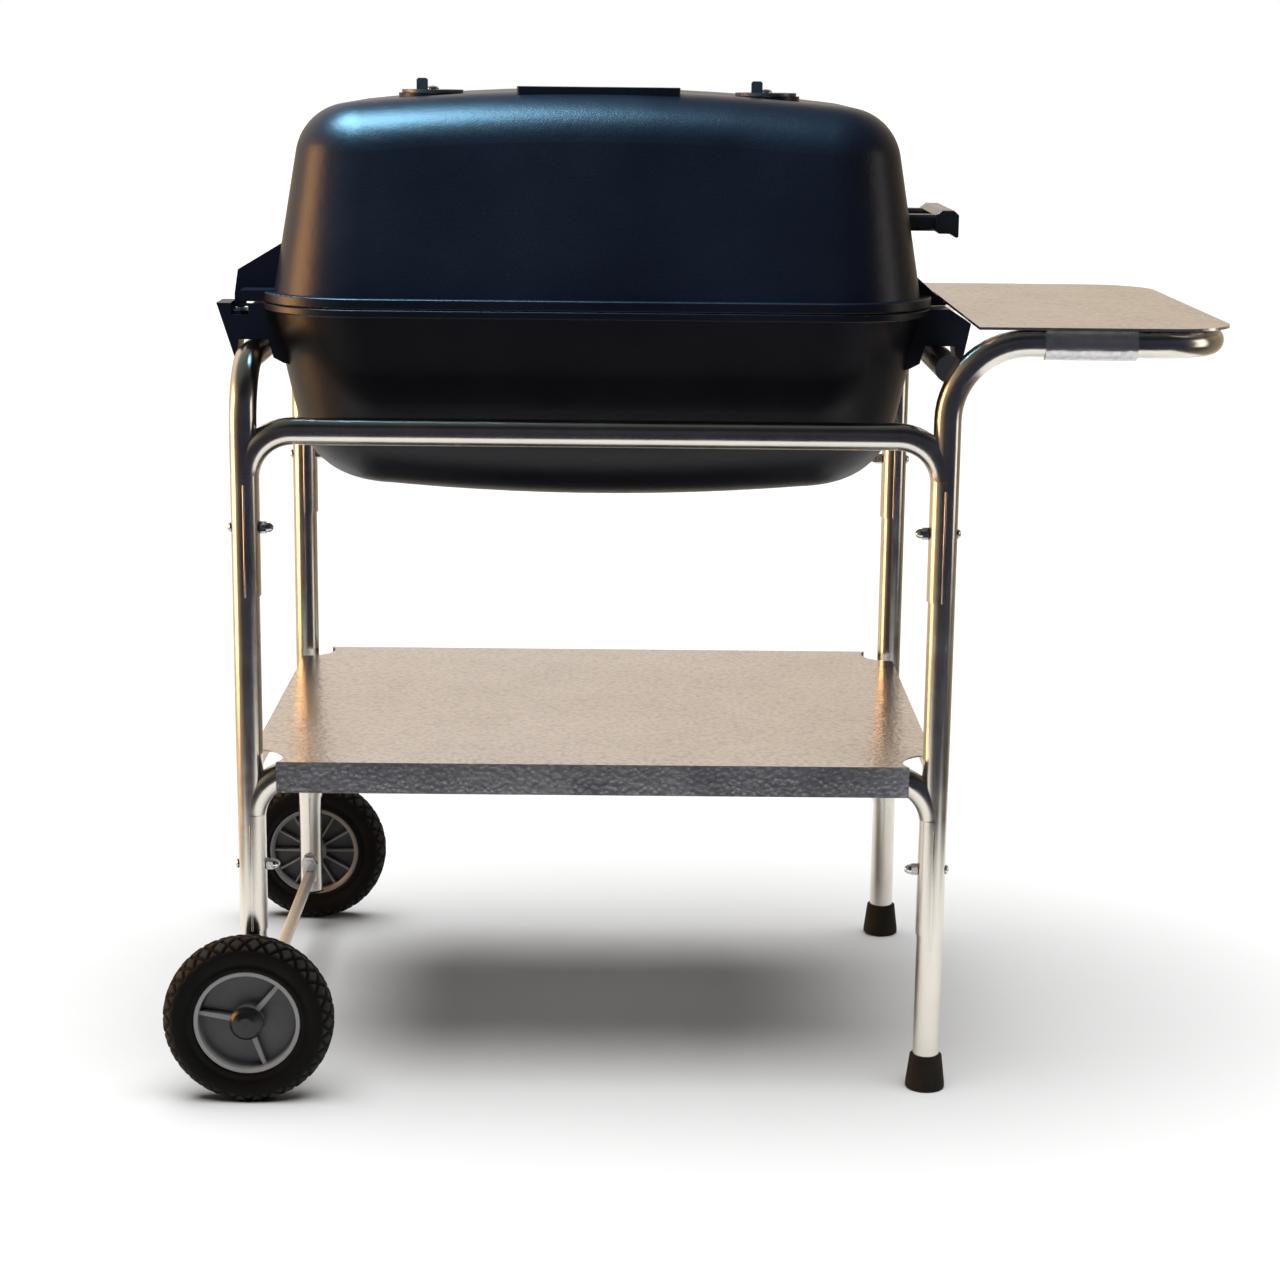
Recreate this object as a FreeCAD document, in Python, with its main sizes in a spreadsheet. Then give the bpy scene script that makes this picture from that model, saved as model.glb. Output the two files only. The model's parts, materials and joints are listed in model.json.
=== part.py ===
import FreeCAD, Part
import math
import os

import Sketcher

from FreeCAD import Placement, Rotation, Vector

# Charcoal grill: two cast half shells that close like a clamshell, resting by hooked brackets on a
# cart of bent 25.4 mm tube with two wheels, two feet, a lower tray and a side shelf.
#
# Millimetres. +X points to the side shelf, the wheels are at -X, and -Y is the front, where the
# cook stands. The origin is on the floor, under the middle of the bounding box.

DOC = FreeCAD.newDocument("charcoal_grill")
X_AXIS = Vector(1, 0, 0)
Y_AXIS = Vector(0, 1, 0)
Z_AXIS = Vector(0, 0, 1)

# ---------------------------------------------------------------------------------------------
# Driving dimensions
# ---------------------------------------------------------------------------------------------

DRIVING_SIZES = {
    # cart
    "overall_width": 997,
    "leg_pitch_x": 650,
    "leg_pitch_y": 469,
    "tube_diameter": 25.4,
    "tube_wall": 1.5,
    "left_rail_height": 699,
    "left_rail_bend": 60,
    "left_leg_end": 46,
    "side_rail_height": 724,
    "side_rail_drop_bend": 72,
    "side_rail_plan_bend": 62,
    "side_rail_reach": 250,
    "foot_seat_height": 7,
    # braces
    "upper_brace_height": 636.5,
    "brace_bend": 44.5,
    "brace_drop": 154.5,
    "brace_bolt_drop": 90.5,
    "brace_bolt_diameter": 6,
    # shelves
    "tray_height": 325,
    "tray_length": 652,
    "tray_depth": 501,
    "tray_skirt": 30,
    "tray_notch": 31,
    "sheet_thickness": 1.5,
    "side_shelf_inset": 25,
    "side_shelf_width": 241,
    "side_shelf_depth": 486,
    "side_shelf_thickness": 2.5,
    "tongue_width": 84,
    "tongue_offset": 128,
    # wheels and feet
    "wheel_diameter": 162,
    "wheel_width": 34,
    "wheel_gap": 14,
    "rim_diameter": 101,
    "axle_diameter": 10,
    "foot_diameter": 38,
    "foot_top_diameter": 31,
    "foot_height": 34,
    # cooking vessel
    "rim_height": 747,
    "rim_length": 636,
    "rim_depth": 444,
    "rim_corner": 78,
    "wall_thickness": 5,
    "lid_rise": 198,
    "firebox_fall": 184,
    "hinge_pitch": 260,
    "hinge_offset": 341,
    "hinge_lift": 6,
    "damper_diameter": 58,
    "damper_pitch": 316,
    "damper_setback": 95,
    "handle_length": 144,
}


def make_sheet():
    """Write every driving size to its own cell of the spreadsheet, under its alias."""
    sheet = DOC.addObject("Spreadsheet::Sheet", "sizes")
    for row, (alias, value) in enumerate(DRIVING_SIZES.items(), start=1):
        sheet.set(f"A{row}", alias)
        sheet.set(f"B{row}", str(value))
        sheet.setAlias(f"B{row}", alias)
    DOC.recompute()
    return sheet


SHEET = make_sheet()


def size(alias):
    """The value of one driving size, read back from the sheet."""
    return float(getattr(SHEET, alias))


# Places that several sub-parts share.
TUBE_RADIUS = size("tube_diameter") / 2
BORE_RADIUS = TUBE_RADIUS - size("tube_wall")
WHEEL_RADIUS = size("wheel_diameter") / 2
LEFT_X = -size("overall_width") / 2 + WHEEL_RADIUS
RIGHT_X = LEFT_X + size("leg_pitch_x")
MIDDLE_X = (LEFT_X + RIGHT_X) / 2
LEG_Y = size("leg_pitch_y") / 2
RIM_Z = size("rim_height")
LOWER_BRACE_HEIGHT = size("tray_height") - size("sheet_thickness") - TUBE_RADIUS
SIDES = {"front": -1, "rear": 1}

# ---------------------------------------------------------------------------------------------
# Helpers
# ---------------------------------------------------------------------------------------------


def new_body(label):
    """An empty PartDesign body whose label is the node's name."""
    body = DOC.addObject("PartDesign::Body", label)
    body.Label = label
    return body


def new_sketch(body, name, plane="XY_Plane", offset=0.0):
    """A sketch on one origin plane of the body, moved along that plane's normal."""
    sketch = body.newObject("Sketcher::SketchObject", f"{body.Name}_{name}")
    origin_plane = next(item for item in body.Origin.OriginFeatures if item.Role == plane)
    sketch.AttachmentSupport = [(origin_plane, "")]
    sketch.MapMode = "FlatFace"
    sketch.AttachmentOffset = Placement(Vector(0, 0, offset), Rotation())
    return sketch


def sketch_lines(sketch, points):
    """A closed outline of straight lines through the points."""
    corners = [Vector(x, y, 0) for x, y in points]
    for start, end in zip(corners, corners[1:] + corners[:1]):
        sketch.addGeometry(Part.LineSegment(start, end))


def sketch_edges(sketch, wire):
    """Copy a flat wire of lines and arcs, drawn in the XY plane, into the sketch."""
    for edge in wire.Edges:
        curve = edge.Curve.trim(*edge.ParameterRange)
        if isinstance(edge.Curve, Part.Circle):
            curve = Part.ArcOfCircle(edge.Curve, *edge.ParameterRange)
        elif isinstance(edge.Curve, Part.Line):
            curve = Part.LineSegment(edge.Vertexes[0].Point, edge.Vertexes[-1].Point)
        sketch.addGeometry(curve)


def sketch_circle(sketch, centre, radius, alias=None, factor=1.0):
    """A circle whose radius follows a cell of the sheet when an alias is given."""
    index = sketch.addGeometry(Part.Circle(Vector(*centre, 0), Z_AXIS, radius))
    if alias:
        constraint = sketch.addConstraint(Sketcher.Constraint("Radius", index, radius))
        sketch.setExpression(f"Constraints[{constraint}]", f"sizes.{alias} * {factor}")
    return index


def rounded_rectangle(half_x, half_y, radius):
    """A rectangle about the origin with round corners, as one closed flat wire."""
    edges = []
    corners = [(1, -1), (1, 1), (-1, 1), (-1, -1)]
    for index, (side_x, side_y) in enumerate(corners):
        centre = Vector(side_x * (half_x - radius), side_y * (half_y - radius), 0)
        start_angle = -90 + 90 * index
        arc = Part.ArcOfCircle(
            Part.Circle(centre, Z_AXIS, radius),
            math.radians(start_angle),
            math.radians(start_angle + 90),
        )
        edges.append(arc.toShape())
    straights = []
    for arc, following in zip(edges, edges[1:] + edges[:1]):
        straights.append(Part.makeLine(arc.Vertexes[-1].Point, following.Vertexes[0].Point))
    ordered = [edge for pair in zip(edges, straights) for edge in pair]
    return Part.Wire(ordered)


def bent_wire(corners, radii):
    """Straight runs through the corner points, each inner corner rounded by its own radius."""
    edges = []
    start = corners[0]
    for index, radius in enumerate(radii, start=1):
        corner = corners[index]
        toward_back = (corners[index - 1] - corner).normalize()
        toward_next = (corners[index + 1] - corner).normalize()
        half_angle = toward_back.getAngle(toward_next) / 2
        setback = radius / math.tan(half_angle)
        arc_start = corner + toward_back * setback
        arc_end = corner + toward_next * setback
        bisector = (toward_back + toward_next).normalize()
        arc_middle = corner + bisector * (radius / math.sin(half_angle) - radius)
        edges.append(Part.makeLine(start, arc_start))
        edges.append(Part.Arc(arc_start, arc_middle, arc_end).toShape())
        start = arc_end
    edges.append(Part.makeLine(start, corners[-1]))
    return Part.Wire(edges)


def sweep_rod(path, radius):
    """A solid round rod of one radius along a path of tangent lines and arcs."""
    first = path.Edges[0]
    start = first.Vertexes[0].Point
    direction = first.Vertexes[-1].Point - start
    section = Part.Wire(Part.makeCircle(radius, start, direction))
    return path.makePipeShell([section], True, False)


def sweep_tube(path, outer_radius, inner_radius):
    """A hollow tube along a path, with open ends."""
    return sweep_rod(path, outer_radius).cut(sweep_rod(path, inner_radius))


def cylinder(radius, length, start, direction=Z_AXIS):
    """A solid cylinder from its start point along a direction."""
    return Part.makeCylinder(radius, length, start, direction)


def ring(outer_radius, inner_radius, length, start, direction=Z_AXIS):
    """A cylinder with a coaxial bore."""
    solid = Part.makeCylinder(outer_radius, length, start, direction)
    return solid.cut(Part.makeCylinder(inner_radius, length, start, direction))


def hexagon_prism(across_flats, length, start, direction):
    """A hexagonal prism, such as a nut without its bore, from its start point."""
    first_corner = Vector(across_flats / math.sqrt(3), 0, 0)
    points = [Rotation(Z_AXIS, 60 * step).multVec(first_corner) for step in range(7)]
    prism = Part.Face(Part.makePolygon(points)).extrude(Vector(0, 0, length))
    prism.Placement = Placement(start, Rotation(Z_AXIS, direction))
    return prism


def revolve_profile(points, axis_point=Vector(0, 0, 0), axis=Z_AXIS):
    """A solid of revolution of an outline given as (radius, height) about +Z."""
    outline = [Vector(radius, 0, height) for radius, height in points]
    face = Part.Face(Part.makePolygon(outline + outline[:1]))
    solid = face.revolve(Vector(0, 0, 0), Z_AXIS, 360)
    solid.Placement = Placement(axis_point, Rotation(Z_AXIS, axis))
    return solid


def dome_head(radius, height, seat, direction):
    """A round bolt head on its seat: short straight side, then a dome in three flats."""
    outline = [
        (0, 0),
        (radius, 0),
        (radius, 0.25 * height),
        (0.8 * radius, 0.68 * height),
        (0.4 * radius, 0.91 * height),
        (0, height),
    ]
    return revolve_profile(outline, seat, direction)


def extrude_outline(points, y_start, y_end):
    """A flat outline in X and Z, extruded along Y."""
    outline = [Vector(x, y_start, z) for x, z in points]
    return Part.Face(Part.makePolygon(outline + outline[:1])).extrude(Vector(0, y_end - y_start, 0))


def add_feature(label, shape, position=Vector(0, 0, 0), rotation=Rotation()):
    """One sub-part whose shape is made by Part's own functions."""
    feature = DOC.addObject("Part::Feature", label)
    feature.Label = label
    feature.Shape = shape
    feature.Placement = Placement(position, rotation).multiply(feature.Placement)
    return feature


def add_group(label, shapes):
    """Identical loose pieces that share one node, as a compound of separate solids."""
    return add_feature(label, Part.makeCompound(shapes))

# ---------------------------------------------------------------------------------------------
# Cart: legs, rail and braces
# ---------------------------------------------------------------------------------------------


def make_left_leg_frame():
    """Inverted U of tube in the YZ plane, drilled for the brace bolts and the wheel axles."""
    body = new_body("left_leg_frame")
    rail = size("left_rail_height")
    end = size("left_leg_end")
    corners = [
        Vector(-LEG_Y, end, 0),
        Vector(-LEG_Y, rail, 0),
        Vector(LEG_Y, rail, 0),
        Vector(LEG_Y, end, 0),
    ]
    bend = size("left_rail_bend")
    path = new_sketch(body, "path", "YZ_Plane")
    sketch_edges(path, bent_wire(corners, [bend, bend]))
    section = new_sketch(body, "section", "XY_Plane", end)
    sketch_circle(section, (0, -LEG_Y), TUBE_RADIUS, "tube_diameter", 0.5)
    sketch_circle(section, (0, -LEG_Y), BORE_RADIUS)
    pipe = body.newObject("PartDesign::AdditivePipe", "left_leg_pipe")
    pipe.Profile = section
    pipe.Spine = path
    cut_bolt_holes(body, [size("upper_brace_height"), LOWER_BRACE_HEIGHT])
    holes = new_sketch(body, "axle_holes", "XZ_Plane")
    sketch_circle(holes, (0, WHEEL_RADIUS), size("axle_diameter") / 2, "axle_diameter", 0.5)
    cut_through(body, holes, "axle_hole_pocket")
    body.Placement = Placement(Vector(LEFT_X, 0, 0), Rotation())
    return body


def cut_through(body, sketch, name):
    """Cut a sketch through the whole body, both ways from its plane."""
    pocket = body.newObject("PartDesign::Pocket", name)
    pocket.Profile = sketch
    pocket.Midplane = True
    pocket.Type = "ThroughAll"
    return pocket


def cut_bolt_holes(body, brace_heights):
    """Drill the front and rear leg along X where each brace's bolt goes through."""
    sketch = new_sketch(body, "bolt_holes", "YZ_Plane")
    for height in brace_heights:
        for side in SIDES.values():
            centre = (side * LEG_Y, height - size("brace_bolt_drop"))
            sketch_circle(sketch, centre, size("brace_bolt_diameter") / 2, "brace_bolt_diameter", 0.5)
    cut_through(body, sketch, "bolt_hole_pocket")


def right_leg_path():
    """Up the front leg, out to +X, round the loop under the side shelf and down the rear leg."""
    rail = size("side_rail_height")
    foot = size("foot_seat_height")
    outer_x = RIGHT_X + size("side_rail_reach")
    corners = [
        Vector(RIGHT_X, -LEG_Y, foot),
        Vector(RIGHT_X, -LEG_Y, rail),
        Vector(outer_x, -LEG_Y, rail),
        Vector(outer_x, LEG_Y, rail),
        Vector(RIGHT_X, LEG_Y, rail),
        Vector(RIGHT_X, LEG_Y, foot),
    ]
    drop = size("side_rail_drop_bend")
    plan = size("side_rail_plan_bend")
    return bent_wire(corners, [drop, plan, plan, drop])


def make_right_leg_frame():
    """One tube with four bends out of a single plane, drilled for the brace bolts."""
    tube = sweep_tube(right_leg_path(), TUBE_RADIUS, BORE_RADIUS)
    drill_length = 2 * TUBE_RADIUS + 4
    for brace_height in (size("upper_brace_height"), LOWER_BRACE_HEIGHT):
        for side in SIDES.values():
            drill_z = brace_height - size("brace_bolt_drop")
            start = Vector(RIGHT_X - drill_length / 2, side * LEG_Y, drill_z)
            tube = tube.cut(cylinder(size("brace_bolt_diameter") / 2, drill_length, start, X_AXIS))
    return add_feature("right_leg_frame", tube)


def make_right_cross_rail():
    """The rail between the right legs that carries the vessel: closed ends, coped to the bends."""
    end_setback = 4
    end_wall = 8
    half_length = LEG_Y - end_setback
    start = Vector(RIGHT_X, -half_length, size("left_rail_height"))
    rod = cylinder(TUBE_RADIUS, 2 * half_length, start, Y_AXIS)
    bore_start = start + Vector(0, end_wall, 0)
    rail = rod.cut(cylinder(BORE_RADIUS, 2 * (half_length - end_wall), bore_start, Y_AXIS))
    rail = rail.cut(sweep_rod(right_leg_path(), TUBE_RADIUS))
    return add_feature("right_cross_rail", rail)


def half_ring_sketch(sketch, centre_x, inner_radius, outer_radius):
    """A half ring about a leg's axis, on the side that faces the other leg."""
    start = math.radians(-90 if centre_x < 0 else 90)
    for radius in (inner_radius, outer_radius):
        circle = Part.Circle(Vector(centre_x, 0, 0), Z_AXIS, radius)
        sketch.addGeometry(Part.ArcOfCircle(circle, start, start + math.pi))
    for end in (-1, 1):
        inner = Vector(centre_x, end * inner_radius, 0)
        outer = Vector(centre_x, end * outer_radius, 0)
        sketch.addGeometry(Part.LineSegment(inner, outer))


def make_brace(label, side, height):
    """A tube between two legs whose bent ends open into half-round saddles round the legs."""
    body = new_body(label)
    wall = size("tube_wall")
    saddle_radius = TUBE_RADIUS + wall
    leg_x = size("leg_pitch_x") / 2
    bend = size("brace_bend")
    drop = size("brace_drop")
    end_x = leg_x - wall
    stub = bend + 14
    corners = [
        Vector(-end_x, -stub, 0),
        Vector(-end_x, 0, 0),
        Vector(end_x, 0, 0),
        Vector(end_x, -stub, 0),
    ]

    path = new_sketch(body, "path", "XZ_Plane")
    sketch_edges(path, bent_wire(corners, [bend, bend]))
    section = new_sketch(body, "section", "XY_Plane", -stub)
    sketch_circle(section, (-end_x, 0), TUBE_RADIUS, "tube_diameter", 0.5)
    sketch_circle(section, (-end_x, 0), BORE_RADIUS)
    pipe = body.newObject("PartDesign::AdditivePipe", f"{label}_pipe")
    pipe.Profile = section
    pipe.Spine = path
    body.Document.recompute()

    saddles = new_sketch(body, "saddles", "XY_Plane", -drop)
    for end in (-1, 1):
        half_ring_sketch(saddles, end * leg_x, TUBE_RADIUS, saddle_radius)
    pad = body.newObject("PartDesign::Pad", f"{label}_saddle_pad")
    pad.Profile = saddles
    pad.Length = drop - bend + 4

    clearance = new_sketch(body, "leg_clearance", "XY_Plane", TUBE_RADIUS + 8)
    for outward in (-1, 1):
        circle = Part.Circle(Vector(outward * leg_x, 0, 0), Z_AXIS, TUBE_RADIUS)
        start = 90 if outward > 0 else -90
        clearance.addGeometry(
            Part.ArcOfCircle(circle, math.radians(start), math.radians(start + 180))
        )
        reach = outward * (leg_x + 2 * TUBE_RADIUS)
        wide = 2 * TUBE_RADIUS
        edge = outward * leg_x
        outside = [
            Vector(edge, TUBE_RADIUS, 0),
            Vector(edge, wide, 0),
            Vector(reach, wide, 0),
            Vector(reach, -wide, 0),
            Vector(edge, -wide, 0),
            Vector(edge, -TUBE_RADIUS, 0),
        ]
        for first, second in zip(outside, outside[1:]):
            clearance.addGeometry(Part.LineSegment(first, second))
    pocket = body.newObject("PartDesign::Pocket", f"{label}_leg_pocket")
    pocket.Profile = clearance
    pocket.Length = drop + TUBE_RADIUS + 20

    holes = new_sketch(body, "bolt_holes", "YZ_Plane")
    bolt_radius = size("brace_bolt_diameter") / 2
    sketch_circle(holes, (0, -size("brace_bolt_drop")), bolt_radius, "brace_bolt_diameter", 0.5)
    cut_through(body, holes, f"{label}_bolt_pocket")
    body.Placement = Placement(Vector(MIDDLE_X, side * LEG_Y, height), Rotation())
    return body


NUT_THREAD_DEPTH = 9


def brace_bolt_places():
    """Point where each brace bolt crosses its leg's axis, with the direction out of the cart."""
    for brace_height in (size("upper_brace_height"), LOWER_BRACE_HEIGHT):
        for side in SIDES.values():
            for leg_x, outward in ((LEFT_X, -1), (RIGHT_X, 1)):
                yield Vector(leg_x, side * LEG_Y, brace_height - size("brace_bolt_drop")), outward


def make_brace_bolts():
    """Round-headed bolts, head outside the leg."""
    shank_radius = size("brace_bolt_diameter") / 2
    head_radius = 4.6
    head_height = 3.4
    shank_length = 2 * TUBE_RADIUS + size("tube_wall") + NUT_THREAD_DEPTH
    bolts = []
    for centre, outward in brace_bolt_places():
        direction = Vector(outward, 0, 0)
        seat = centre + direction * TUBE_RADIUS
        head = dome_head(head_radius, head_height, seat, direction)
        bolts.append(head.fuse(cylinder(shank_radius, shank_length, seat, -direction)))
    return add_group("brace_bolts", bolts)


def make_brace_nuts():
    """Acorn nuts on the inside of the saddles."""
    shank_radius = size("brace_bolt_diameter") / 2
    flats = 10
    hex_height = 6
    nuts = []
    for centre, outward in brace_bolt_places():
        direction = Vector(-outward, 0, 0)
        seat = centre + direction * (TUBE_RADIUS + size("tube_wall"))
        nut = hexagon_prism(flats, hex_height, seat, direction)
        cap = [(0, hex_height), (4.6, hex_height), (4.4, 8.5), (3.2, 11), (1.6, 12.2), (0, 12.5)]
        nut = nut.fuse(revolve_profile(cap, seat, direction))
        nut = nut.cut(cylinder(shank_radius, NUT_THREAD_DEPTH, seat, direction))
        nuts.append(nut)
    return add_group("brace_nuts", nuts)


# ---------------------------------------------------------------------------------------------
# Cart: shelves
# ---------------------------------------------------------------------------------------------


def make_lower_tray():
    """Sheet tray with a skirt on each edge and a round notch at each leg."""
    body = new_body("lower_tray")
    half_x = size("tray_length") / 2
    half_y = size("tray_depth") / 2
    sheet = size("sheet_thickness")
    notch = size("tray_notch")
    leg_x = size("leg_pitch_x") / 2
    # where the notch circle about a leg meets the tray's long and short edges
    long_edge_x = leg_x - math.sqrt(notch**2 - (half_y - LEG_Y) ** 2)
    short_edge_y = LEG_Y - math.sqrt(notch**2 - (half_x - leg_x) ** 2)

    outline = new_sketch(body, "outline", "XY_Plane", size("tray_height") - sheet)
    for side_x, side_y in ((1, -1), (1, 1), (-1, 1), (-1, -1)):
        leg = Vector(side_x * leg_x, side_y * LEG_Y, 0)
        on_long_edge = Vector(side_x * long_edge_x, side_y * half_y, 0)
        on_short_edge = Vector(side_x * half_x, side_y * short_edge_y, 0)
        inward = Vector(-side_x, -side_y, 0).normalize()
        notch_arc = Part.Arc(on_long_edge, leg + inward * notch, on_short_edge)
        outline.addGeometry(notch_arc)
    for side in (-1, 1):
        long_edge = side * half_y
        short_edge = side * half_x
        outline.addGeometry(
            Part.LineSegment(Vector(-long_edge_x, long_edge, 0), Vector(long_edge_x, long_edge, 0))
        )
        outline.addGeometry(
            Part.LineSegment(Vector(short_edge, -short_edge_y, 0), Vector(short_edge, short_edge_y, 0))
        )
    plate = body.newObject("PartDesign::Pad", "tray_plate")
    plate.Profile = outline
    plate.setExpression("Length", "sizes.sheet_thickness")

    skirts = new_sketch(body, "skirts", "XY_Plane", size("tray_height") - size("tray_skirt"))
    for side in (-1, 1):
        outer_y = side * half_y
        inner_y = side * (half_y - sheet)
        long_skirt = [
            (-long_edge_x, outer_y),
            (long_edge_x, outer_y),
            (long_edge_x, inner_y),
            (-long_edge_x, inner_y),
        ]
        outer_x = side * half_x
        inner_x = side * (half_x - sheet)
        short_skirt = [
            (outer_x, -short_edge_y),
            (outer_x, short_edge_y),
            (inner_x, short_edge_y),
            (inner_x, -short_edge_y),
        ]
        sketch_lines(skirts, long_skirt)
        sketch_lines(skirts, short_skirt)
    skirt_pad = body.newObject("PartDesign::Pad", "tray_skirt_pad")
    skirt_pad.Profile = skirts
    skirt_pad.setExpression("Length", "sizes.tray_skirt")
    body.Placement = Placement(Vector(MIDDLE_X, 0, 0), Rotation())
    return body


def make_side_shelf():
    """Flat sheet on the right leg frame's loop, with a tongue round the rail at front and rear."""
    body = new_body("side_shelf")
    left = size("side_shelf_inset")
    right = left + size("side_shelf_width")
    half_y = size("side_shelf_depth") / 2
    bottom = size("side_rail_height") + TUBE_RADIUS
    thickness = size("side_shelf_thickness")

    outline = new_sketch(body, "outline", "XY_Plane", bottom)
    sketch_shelf_outline(outline, left, right, half_y, size("side_rail_plan_bend"))
    plate = body.newObject("PartDesign::Pad", "side_shelf_plate")
    plate.Profile = outline
    plate.setExpression("Length", "sizes.side_shelf_thickness")

    tongues = new_sketch(body, "tongues", "YZ_Plane", size("tongue_offset"))
    for side in (-1, 1):
        centre = Vector(side * LEG_Y, size("side_rail_height"), 0)
        start = 90 if side < 0 else -90
        for radius in (TUBE_RADIUS, TUBE_RADIUS + thickness):
            circle = Part.Circle(centre, Z_AXIS, radius)
            half_turn = Part.ArcOfCircle(circle, math.radians(start), math.radians(start + 180))
            tongues.addGeometry(half_turn)
        for end in (-1, 1):
            near = centre + Vector(0, end * TUBE_RADIUS, 0)
            far = centre + Vector(0, end * (TUBE_RADIUS + thickness), 0)
            tongues.addGeometry(Part.LineSegment(near, far))
    tongue_pad = body.newObject("PartDesign::Pad", "side_shelf_tongues")
    tongue_pad.Profile = tongues
    tongue_pad.Midplane = True
    tongue_pad.setExpression("Length", "sizes.tongue_width")
    body.Placement = Placement(Vector(RIGHT_X, 0, 0), Rotation())
    return body


def sketch_shelf_outline(sketch, left, right, half_y, radius):
    """The side shelf's outline: square corners by the vessel, round ones over the loop."""
    straight = right - radius
    for side in (-1, 1):
        sketch.addGeometry(
            Part.LineSegment(Vector(left, side * half_y, 0), Vector(straight, side * half_y, 0))
        )
        start = 0 if side > 0 else -90
        circle = Part.Circle(Vector(straight, side * (half_y - radius), 0), Z_AXIS, radius)
        sketch.addGeometry(Part.ArcOfCircle(circle, math.radians(start), math.radians(start + 90)))
    sketch.addGeometry(Part.LineSegment(Vector(left, -half_y, 0), Vector(left, half_y, 0)))
    reach = half_y - radius
    sketch.addGeometry(Part.LineSegment(Vector(right, -reach, 0), Vector(right, reach, 0)))


# ---------------------------------------------------------------------------------------------
# Cart: wheels, axles, strut and feet
# ---------------------------------------------------------------------------------------------

WHEEL_INNER_Y = LEG_Y + TUBE_RADIUS + size("wheel_gap")
WHEEL_OUTER_Y = WHEEL_INNER_Y + size("wheel_width")


def wheel_placement(side):
    """Local +Z of a wheel piece is the axle's direction away from the leg, from the wheel's back."""
    position = Vector(LEFT_X, side * WHEEL_INNER_Y, WHEEL_RADIUS)
    return Placement(position, Rotation(Z_AXIS, Vector(0, side, 0)))


def revolve_body(body, name, points):
    """Revolve an outline given as (radius, height) about the body's Z axis."""
    sketch = new_sketch(body, name, "XZ_Plane")
    sketch_lines(sketch, points)
    revolution = body.newObject("PartDesign::Revolution", f"{body.Name}_{name}_revolution")
    revolution.Profile = sketch
    revolution.ReferenceAxis = (sketch, ["V_Axis"])
    revolution.Angle = 360
    return revolution


def pattern_about_axis(body, feature, count):
    """Repeat a feature round the body's Z axis."""
    pattern = body.newObject("PartDesign::PolarPattern", f"{feature.Name}_pattern")
    pattern.Originals = [feature]
    z_axis = next(item for item in body.Origin.OriginFeatures if item.Role == "Z_Axis")
    pattern.Axis = (z_axis, [""])
    pattern.Angle = 360
    pattern.Occurrences = count
    body.Tip = pattern
    return pattern


def turned(points, degrees):
    """Points of a flat outline turned about the origin."""
    cosine = math.cos(math.radians(degrees))
    sine = math.sin(math.radians(degrees))
    return [(x * cosine - y * sine, x * sine + y * cosine) for x, y in points]


def make_wheel_rim(label, side):
    """Moulded wheel centre: barrel, recessed web, hub, three outer ribs, a ring of inner ribs."""
    body = new_body(label)
    width = size("wheel_width")
    bead = size("rim_diameter") / 2
    barrel_wall = 3
    web_outer = width - 15
    web_inner = web_outer - 4
    hub = 14
    bore = size("axle_diameter") / 2 + 0.06
    profile = [
        (bore, 0.4),
        (hub, 0.4),
        (hub, web_inner),
        (bead - 5, web_inner),
        (bead - 5, 4),
        (bead - 2, 2),
        (bead, 2),
        (bead, 5),
        (bead - 5 + barrel_wall, 7),
        (bead - 5 + barrel_wall, width - 7),
        (bead, width - 5),
        (bead, width - 2.5),
        (bead - 0.5, width - 2),
        (bead - 4, width - 2),
        (bead - 4.6, web_outer + 2),
        (bead - 6.6, web_outer),
        (hub + 3, web_outer),
        (hub + 1, web_outer + 2),
        (hub, width - 3),
        (bore, width - 3),
    ]
    revolve_body(body, "profile", profile)
    inner_rib = new_sketch(body, "inner_rib", "XY_Plane", 6)
    sketch_lines(inner_rib, [(hub - 1, -0.9), (bead - 4, -0.9), (bead - 4, 0.9), (hub - 1, 0.9)])
    inner_pad = body.newObject("PartDesign::Pad", f"{label}_inner_rib")
    inner_pad.Profile = inner_rib
    inner_pad.Length = web_inner - 5
    DOC.recompute()
    pattern_about_axis(body, inner_pad, 12)
    outer_rib = new_sketch(body, "outer_rib", "XY_Plane", web_outer - 2)
    rib_angle = 50
    rib_outline = [(hub - 1, -2.6), (bead - 4, -1.8), (bead - 4, 1.8), (hub - 1, 2.6)]
    sketch_lines(outer_rib, turned(rib_outline, rib_angle))
    outer_pad = body.newObject("PartDesign::Pad", f"{label}_outer_rib")
    outer_pad.Profile = outer_rib
    outer_pad.Length = 10
    DOC.recompute()
    pattern_about_axis(body, outer_pad, 3)
    body.Placement = wheel_placement(side)
    return body


def make_tyre(label, side):
    """Solid rubber tyre: round shoulders, flat tread band and the seat of the rim's barrel."""
    body = new_body(label)
    width = size("wheel_width")
    bead = size("rim_diameter") / 2
    seat = bead - 5 + 3
    crown = WHEEL_RADIUS
    profile = [
        (seat, 7.5),
        (bead + 0.2, 5.5),
        (bead + 0.2, 1.5),
        (bead + 4, 0.5),
        (crown - 14, 0),
        (crown - 6, 2),
        (crown - 2, 6),
        (crown, 11),
        (crown, width - 11),
        (crown - 2, width - 6),
        (crown - 6, width - 2),
        (crown - 14, width),
        (bead + 4, width - 0.5),
        (bead + 0.2, width - 1.5),
        (bead + 0.2, width - 5.5),
        (seat, width - 7.5),
    ]
    revolve_body(body, "profile", profile)
    body.Placement = wheel_placement(side)
    return body


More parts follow.
